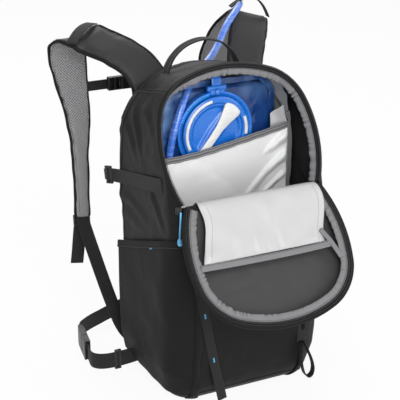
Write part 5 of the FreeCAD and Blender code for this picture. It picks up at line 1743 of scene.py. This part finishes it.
class HYDRATION_OT_shoulder_straps(bpy.types.Operator):
    """Make the padded shoulder straps with their air mesh, edge tape and hose keepers"""

    bl_idname = "hydration.shoulder_straps"
    bl_label = "Shoulder Straps"

    def execute(self, context):
        for side, word in SIDES:
            points, across, out, width = strap_line(side)
            middle = points - out * 0.8
            scale = np.stack([width / 2 - 1.6, np.ones(len(width))], axis=1)
            section = crowned_section()
            pad = swept(f"{word}_strap", middle, across, section, scale=scale)
            # the sections are laid again, square to the strap's own outward direction
            set_coordinates(pad, section_rows(middle, across, out, section, scale).reshape(-1, 3))
            outward(pad)
            remeshed(pad, 4.0, smooth=1)
            puffed(pad, sizes().pad_swell)
            modifier(pad, "SUBSURF", levels=1, render_levels=1)
            # the outer faces take the lightened nylon, painted light for faces turned up towards the lamps
            dress(settle(pad), "strap_nylon", "spacer")
            self.face_materials(pad, points, out)
            finish(pad, "pack", f"{word}_shoulder_pad", f"{word}_strap_mesh", slot="nylon_black")
            self.trim(side, word, points, across, out, width, surface(pad))
        return {"FINISHED"}

    def face_materials(self, pad, points, out):
        """Lightened nylon, painted light, on the side away from the wearer, air mesh on the other."""
        centres = np.empty(len(pad.data.polygons) * 3)
        facing = np.empty(len(pad.data.polygons) * 3)
        pad.data.polygons.foreach_get("center", centres)
        pad.data.polygons.foreach_get("normal", facing)
        centres, facing = centres.reshape(-1, 3) / MM, facing.reshape(-1, 3)
        nearest = np.argmin(np.linalg.norm(centres[:, None, :] - points[None, :, :], axis=2), axis=1)
        inner = np.sum(facing * out[nearest], axis=1) < -0.12
        pad.data.polygons.foreach_set("material_index", inner.astype(int))

    def trim(self, side, word, points, across, out, width, tree):
        """Edge tape and stitches down both sides of a strap, and the arched band that keeps the hose."""
        turns = np.linspace(0.0, 2 * math.pi, 10, endpoint=False)
        rolled = [(1.9 * math.cos(turn), 3.1 * math.sin(turn)) for turn in turns]
        strips = []
        for edge in (-1, 1):
            line, _ = laid_on(tree, points + across * (edge * (width / 2 + 4.0))[:, None] - out * 0.8)
            line = evenly(smoothed(line[::2], 3), 4.0)
            strips.append(swept(f"{word}_edge_{edge}", line, (0.0, 1.0, 0.3), rolled))
            inside = points + across * (edge * (width / 2 - 5.0))[:, None]
            for face in (1, -1):
                line, _ = laid_on(tree, inside + out * (7.0 * face), 0.25)
                sew("pack", line[2:-2], "thread_dark")
        finish(joined(f"{word}_strap_edges", strips), "pack", look="nylon")
        rise = 22.0 if side > 0 else 7.0
        index = 5 * STRAP_SPANS
        place = np.linspace(-1.0, 1.0, 25)
        half = width[index] / 2 - 2.0
        arch_points = (points[index] + across[index] * (half * place)[:, None]
                       + out[index] * (4.9 + rise * (1 - place ** 2))[:, None])
        along = unit(points[index + 1] - points[index - 1])
        keeper = swept(f"{word}_keeper", arch_points, along, flat_profile(18.0, 1.5))
        finish(keeper, "pack", f"{word}_hose_keeper", look="webbing")


# ---- webbing


class HYDRATION_OT_webbing(bpy.types.Operator):
    """Make the lower, sternum, belt and side webbing, the grab handle and the front strips"""

    bl_idname = "hydration.webbing"
    bl_label = "Webbing"

    def execute(self, context):
        wide = sizes().webbing_width / MM
        upright = (0.0, 0.0, 1.0)
        for side, word in SIDES:
            tilted = (1.0, 0.1 * side, 0.0)
            strips = [
                band(f"{word}_{part}", route, wide, WEBBING_THICK, tilted)
                for part, route in zip(("run", "tail"), LOWER_WEBBING[side])
            ]
            strap = joined(f"{word}_lower_strap", strips)
            finish(strap, "pack", f"{word}_lower_webbing", look="webbing")
            route = [(side * x, y, z) for x, y, z in SIDE_STRAP]
            strap = band(f"{word}_side_strap", route, wide, WEBBING_THICK, upright)
            finish(strap, "pack", f"{word}_compression_strap", look="webbing")
        for name, node, route, width, look in (
            ("sternum_left", "sternum_webbing_left", STERNUM_LEFT, 15, "narrow_webbing"),
            ("sternum_right", "sternum_webbing_right", STERNUM_RIGHT, 15, "narrow_webbing"),
            ("belt_left", "belt_webbing_left", BELT_LEFT, 25, "webbing"),
            ("belt_right", "belt_webbing_right", BELT_RIGHT, 25, "webbing"),
        ):
            strap = band(name, route, width, WEBBING_THICK, upright)
            finish(strap, "pack", node, look=look)
        self.handle(wide)
        self.front_strips()
        return {"FINISHED"}

    def handle(self, wide):
        """The grab handle: webbing folded double and sewn along both edges."""
        line = evenly(smoothed(HANDLE, 8), 2.5)
        rise = ramp(line[:, 2] - 440.0, 20.0)
        scale = np.stack([1.0 - 0.22 * rise, np.ones(len(line))], axis=1)
        grip = swept("handle", line, (0.0, 1.0, 0.0), flat_profile(wide, 2.0), scale=scale)
        finish(grip, "pack", "grab_handle", look="webbing")
        outer = unit(np.cross(unit(np.gradient(line, axis=0)), (0.0, 1.0, 0.0)))
        for across in (-5.0, 5.0):
            sew("pack", line + outer * 1.1 + (0.0, across, 0.0), "thread_grey")

    def front_strips(self):
        """The two webbing strips sewn down the front, their bar tacks, and the loop below the right one."""
        for word, route in (("left", LEFT_STRIP), ("right", RIGHT_STRIP)):
            strip = band(f"{word}_strip", route, 14.0, 1.4, (1.0, 0.0, 0.0))
            finish(strip, "pack", f"{word}_gear_strip", look="narrow_webbing")
        loop = band("gear_loop_strap", [(x, -110.6, z) for x, z in GEAR_LOOP], 10.0, 1.4, (0.0, 1.0, 0.0), 2.0)
        finish(loop, "pack", "gear_loop", look="narrow_webbing")
        places = (
            ((-74.6, -107.7, 143.5), 0.16), ((-60.2, -106.7, 73), 0.16), ((78.6, -107.6, 103), 0.02),
        )
        tacks = [
            bar_tack(f"tack_{number}", at, (slope, 0.0, -1.0), (0.0, -1.0, 0.0))
            for number, (at, slope) in enumerate(places)
        ]
        finish(joined("bar_tacks", tacks), "pack", look="accent")


# ---- plastic hardware


def blocks(name, place, rows):
    """A moulded piece of blocks: low and high corners, rounding, and whether it has a twin across."""
    parts = []
    for low, high, bevel, twin in rows:
        parts.append(block(name, low, high, place, bevel))
        if twin:
            across = [(low[0], -high[1], low[2]), (high[0], -low[1], high[2])]
            parts.append(block(name, *across, place, bevel))
    return joined(name, parts)


def ladder_lock(name, place, wide, long):
    """A webbing adjuster: two side rails, three cross bars and a lifted thumb tab."""
    half, end = wide / 2 + 3.0, long / 2
    bars = [
        ((x - 1.6, -half + 1, z - 1.5), (x + 1.6, half - 1, z + 1.7), 1.1, False)
        for x, z in ((-end + 1.6, 0.0), (0.0, 1.0), (end - 1.6, 0.0))
    ]
    return blocks(name, place, [
        ((-end, -half, -2.2), (end, -half + 2.8, 2.2), 1, True), *bars,
        ((end - 1, -half * 0.62, 0.4), (end + 3.4, half * 0.62, 2.4), 0.9, False),
    ])


class HYDRATION_OT_hardware(bpy.types.Operator):
    """Make the buckles, adjusters and zip slider"""

    bl_idname = "hydration.hardware"
    bl_label = "Hardware"

    def execute(self, context):
        for side, word in SIDES:
            at = np.array(LOWER_WEBBING[side][2]) + (0.0, 1.0, 0.0)
            lock = ladder_lock(f"{word}_lock", placed(at, (0.0, 0.1, 1.0), (1.0, 0.0, 0.0)), 20.0, 17.0)
            finish(lock, "pack", f"{word}_strap_lock", look="plastic")
            place = placed((127.2 * side, 94.2, 286.4), (0.53 * side, 0.85, -0.12), (0.0, 0.0, 1.0))
            lock = ladder_lock(f"{word}_side_lock", place, 20.0, 11.0)
            finish(lock, "pack", f"{word}_compression_lock", look="plastic")
        place = placed((-138.5, 47.8, 15.8), (-0.9985, -0.0211, 0.0), (0.0, 0.0, 1.0))
        glide = ladder_lock("tri_glide", place, 25.0, 10.0)
        finish(glide, "pack", "belt_tri_glide", look="plastic")
        sternum = placed((-84.0, STERNUM[0], STERNUM[1]), (1.0, 0.0, 0.0), (0.0, 0.0, 1.0))
        belt = placed(BELT_START, BELT_ALONG, (0.0, 0.0, 1.0))
        self.buckle("sternum", sternum, 20.0, 8.0, 14.0)
        self.buckle("belt", belt, 31.0, 9.0, 17.0)
        self.slider()
        return {"FINISHED"}

    def buckle(self, word, place, height, thick, depth):
        """A side-release buckle: its plug with two sprung prongs, and the socket that they click into."""
        h, t = height / 2, thick / 2
        # the plug: split tail, rails, bar, plate, floor, tongue and prongs
        plug = blocks(f"{word}_plug", place, [
            ((0, -h, 1.5), (3.2, h, t), 0.9, False),
            ((0, -h, -t), (3.2, h, -1.5), 0.9, False),
            ((1, -h, -t), (21, -h + 2, t), 0.8, True),
            ((9, -h + 1, 1.5), (12.4, h - 1, t - 0.4), 0.7, False),
            ((20.2, -h, -t), (22, h, t), 0.7, False),
            ((2, -h + 1, -t + 0.2), (20, h - 1, -t + 1.6), 0.4, False),
            ((21, -1.5, -t + 2.2), (22.0 + depth, 1.5, t - 2.2), 0.6, False),
            ((21, -h + 3, -t + 2), (22.0 + depth, -h + 6, t - 2), 0.9, True),
        ])
        finish(plug, f"{word}_plug", f"{word}_buckle_plug", look="plastic")
        end = 22.3 + depth + 17.0
        # the socket: front, back, sides, floor and webbing bar
        socket = blocks(f"{word}_socket", place, [
            ((22.3, -h, t - 1.6), (end - 7, h, t), 0.7, False),
            ((22.3, -h, -t), (end - 7, h, -t + 1.6), 0.7, False),
            ((22.3, -h, -t + 0.8), (end, -h + 2.2, t - 0.8), 0.9, True),
            ((24.0 + depth, -h + 1, -t + 0.6), (27.0 + depth, h - 1, t - 0.6), 0.5, False),
            ((end - 2.8, -h, -t + 0.8), (end, h, t - 0.8), 0.9, False),
        ])
        finish(socket, "pack", f"{word}_buckle_socket", look="plastic")

    def slider(self):
        """The zip slider, and the blue cord and knot that pull it."""
        # its top, base, post and eye
        slider = blocks("slider", None, [
            ((-112.6, -101, 294.4), (-105.8, -99.9, 303.8), 0.5, False),
            ((-112.6, -97.5, 294), (-105.8, -94.8, 304), 0.5, False),
            ((-110.5, -100.4, 301.2), (-108, -97, 303.6), 0.3, False),
            ((-110.2, -102.6, 296.4), (-108.4, -100.4, 302.4), 0.4, False),
        ])
        finish(slider, "pack", "zip_slider", look="zip_teeth")
        cord = cord_curve("pull_cord", PULL_ROUTE, 0.0024, "accent")
        end = np.array(PULL_ROUTE[-1])
        knot = turned("pull_knot", [
            (0, -1), (1.8, -0.8), (2.9, 0.4), (3.4, 2), (3, 3.8), (3.4, 5.6), (3, 7.6), (1.9, 8.8),
            (0, 9),
        ], end, (0.1, 0.0, -1.0), segments=28)
        finish(cord, "zip_pull", "zip_pull_cord", slot="cord_blue")
        finish(knot, "zip_pull", "zip_pull_knot", look="accent")


class HYDRATION_OT_back_pads(bpy.types.Operator):
    """Make the two foam pads on the back panel"""

    bl_idname = "hydration.back_pads"
    bl_label = "Back Pads"

    def execute(self, context):
        for side, word in SIDES:
            low, high = (np.array(corner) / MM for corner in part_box(f"{word}_back_pad"))
            pad = block(f"{word}_pad", low + (1.5, 0.0, 1.5), high - (1.5, 2.5, 1.5), bevel=4.0, segments=4)
            remeshed(pad, 4.0, smooth=2)
            puffed(pad, sizes().pad_swell)
            modifier(pad, "SUBSURF", levels=1, render_levels=1)
            settle(pad)
            finish(pad, "pack", f"{word}_back_pad", look="spacer")
        return {"FINISHED"}


class HYDRATION_OT_stitches(bpy.types.Operator):
    """Sew the stitches that the other pieces asked for"""

    bl_idname = "hydration.stitches"
    bl_label = "Stitches"

    def execute(self, context):
        for (body, colour), lines in sorted(stitch_lines.items()):
            stitch = block("stitch", (-1.05, -0.32, -0.3), (1.05, 0.32, 0.3), bevel=0.0)
            spacing = sizes().stitch_spacing / MM
            sewn = repeated(f"stitches_{body}_{colour}", lines, (0.0, -0.7, 0.7), stitch, spacing, colour)
            finish(sewn, body, slot="nylon_black")
        return {"FINISHED"}


# ---- stage


class HYDRATION_OT_stage(bpy.types.Operator):
    """Make the floor, the lights and the camera"""

    bl_idname = "hydration.stage"
    bl_label = "Stage"

    def execute(self, context):
        reach = 6000.0
        corners = [(-reach, -reach, 0.0), (reach, -reach, 0.0), (reach, reach, 0.0), (-reach, reach, 0.0)]
        floor = piece("floor", corners, [(0, 1, 2, 3)])
        material, tree, shader = blank_material("floor_paper")
        marks = effect(tree, "Soft variation", Size=0.4, Fleck=0.003)
        paper = blended(tree, marks["Flecks"], (0.84, 0.84, 0.84), (0.88, 0.88, 0.88))
        give(tree, shader, {"Base Color": paper, "Roughness": 0.9})
        seen = self.seen_rays(tree)
        glow = put(tree, "ShaderNodeEmission", {"Color": (1.0, 1.0, 1.0, 1.0), "Strength": 1.0})
        surface_shader = tree.nodes["Principled BSDF"].outputs[0]
        mix = put(tree, "ShaderNodeMixShader", {
            0: times(tree, seen, 0.92), 1: surface_shader, 2: glow.outputs[0]})
        tree.links.new(mix.outputs[0], tree.nodes["Material Output"].inputs["Surface"])
        floor.data.materials.append(material)
        self.world()
        for name, place, size, power, aim in (
            ("key_light", (-0.7, -1.9, 2), 1.3, 30, (0, 0, 0.25)),
            ("front_light", (-0.3, -2.3, 0.75), 1.3, 24, (0, 0, 0.28)),
            ("fill_light", (2, -1.3, 1.1), 1.6, 12, (0, 0, 0.22)),
            ("rim_light", (0.2, 1.7, 2.2), 1.6, 26, (0, 0, 0.3)),
        ):
            lamp = bpy.data.lights.new(name, "AREA")
            lamp.size, lamp.energy = size, power
            obj = bpy.data.objects.new(name, lamp)
            obj.location = place
            obj.rotation_euler = (Vector(aim) - Vector(place)).to_track_quat("-Z", "Y").to_euler()
            context.scene.collection.objects.link(obj)
        self.camera(context)
        context.scene.view_settings.view_transform = "Standard"
        return {"FINISHED"}

    def seen_rays(self, tree):
        """1 for rays from the camera and for reflected and refracted ones, 0 for the rest."""
        rays = put(tree, "ShaderNodeLightPath").outputs
        seen = maths(tree, "MAXIMUM", rays["Is Camera Ray"], rays["Is Glossy Ray"])
        return maths(tree, "MAXIMUM", seen, rays["Is Transmission Ray"])

    def world(self):
        """An even white surround, which lights the pack a little less than it shows."""
        world = bpy.data.worlds.new("studio")
        bpy.context.scene.world = world
        world.use_nodes = True
        tree = world.node_tree
        strength = maths(tree, "MULTIPLY_ADD", self.seen_rays(tree), 0.55, 0.45)
        give(tree, tree.nodes["Background"].inputs, {"Color": (1.0, 1.0, 1.0, 1.0), "Strength": strength})

    def camera(self, context):
        """The camera, a little above and to the left of the opening."""
        azimuth, elevation, roll = (math.radians(angle) for angle in (-26.5, 22.0, 0.4))
        level = math.cos(elevation)
        back = Vector((math.sin(azimuth) * level, -math.cos(azimuth) * level, math.sin(elevation)))
        lens = bpy.data.cameras.new("camera")
        lens.lens, lens.sensor_width = 110.0, 36.0
        camera = bpy.data.objects.new("camera", lens)
        camera.location = Vector((-0.030, 0.0, 0.265)) + back * 1.7
        turn = (-back).to_track_quat("-Z", "Y") @ Quaternion((0.0, 0.0, 1.0), roll)
        camera.rotation_euler = turn.to_euler()
        context.scene.collection.objects.link(camera)
        context.scene.camera = camera


# ---- panel and running


PIECE_OPERATORS = (
    HYDRATION_OT_stage, HYDRATION_OT_hose, HYDRATION_OT_bag, HYDRATION_OT_side_pockets, HYDRATION_OT_opening,
    HYDRATION_OT_lid, HYDRATION_OT_hinge_fabric, HYDRATION_OT_sleeve, HYDRATION_OT_reservoir,
    HYDRATION_OT_shoulder_straps, HYDRATION_OT_webbing, HYDRATION_OT_hardware, HYDRATION_OT_back_pads,
    HYDRATION_OT_stitches,
)


class HYDRATION_PT_panel(bpy.types.Panel):
    """The sidebar panel that lists the sizes, the colours and every piece"""

    bl_idname = "HYDRATION_PT_panel"
    bl_label = "Hydration Pack"
    bl_space_type = "VIEW_3D"
    bl_region_type = "UI"
    bl_category = "Pack"

    def draw(self, context):
        layout = self.layout
        for group in (sizes(), colours()):
            box = layout.box()
            for name in group.__annotations__:
                box.prop(group, name)
        for operator in PIECE_OPERATORS:
            layout.operator(operator.bl_idname)


CLASSES = (PackSizes, PackColours, *PIECE_OPERATORS, HYDRATION_PT_panel)


def register():
    """Adds the pack's settings, operators and panel."""
    for cls in CLASSES:
        bpy.utils.register_class(cls)
    bpy.types.Scene.hydration_pack_sizes = PointerProperty(type=PackSizes)
    bpy.types.Scene.hydration_pack_colours = PointerProperty(type=PackColours)


def unregister():
    """Takes them away again."""
    del bpy.types.Scene.hydration_pack_colours
    del bpy.types.Scene.hydration_pack_sizes
    for cls in reversed(CLASSES):
        bpy.utils.unregister_class(cls)


def main():
    """Makes every piece in order."""
    register()
    for operator in PIECE_OPERATORS:
        name = operator.bl_idname.split(".")[1]
        getattr(bpy.ops.hydration, name)()


if __name__ == "__main__":
    main()
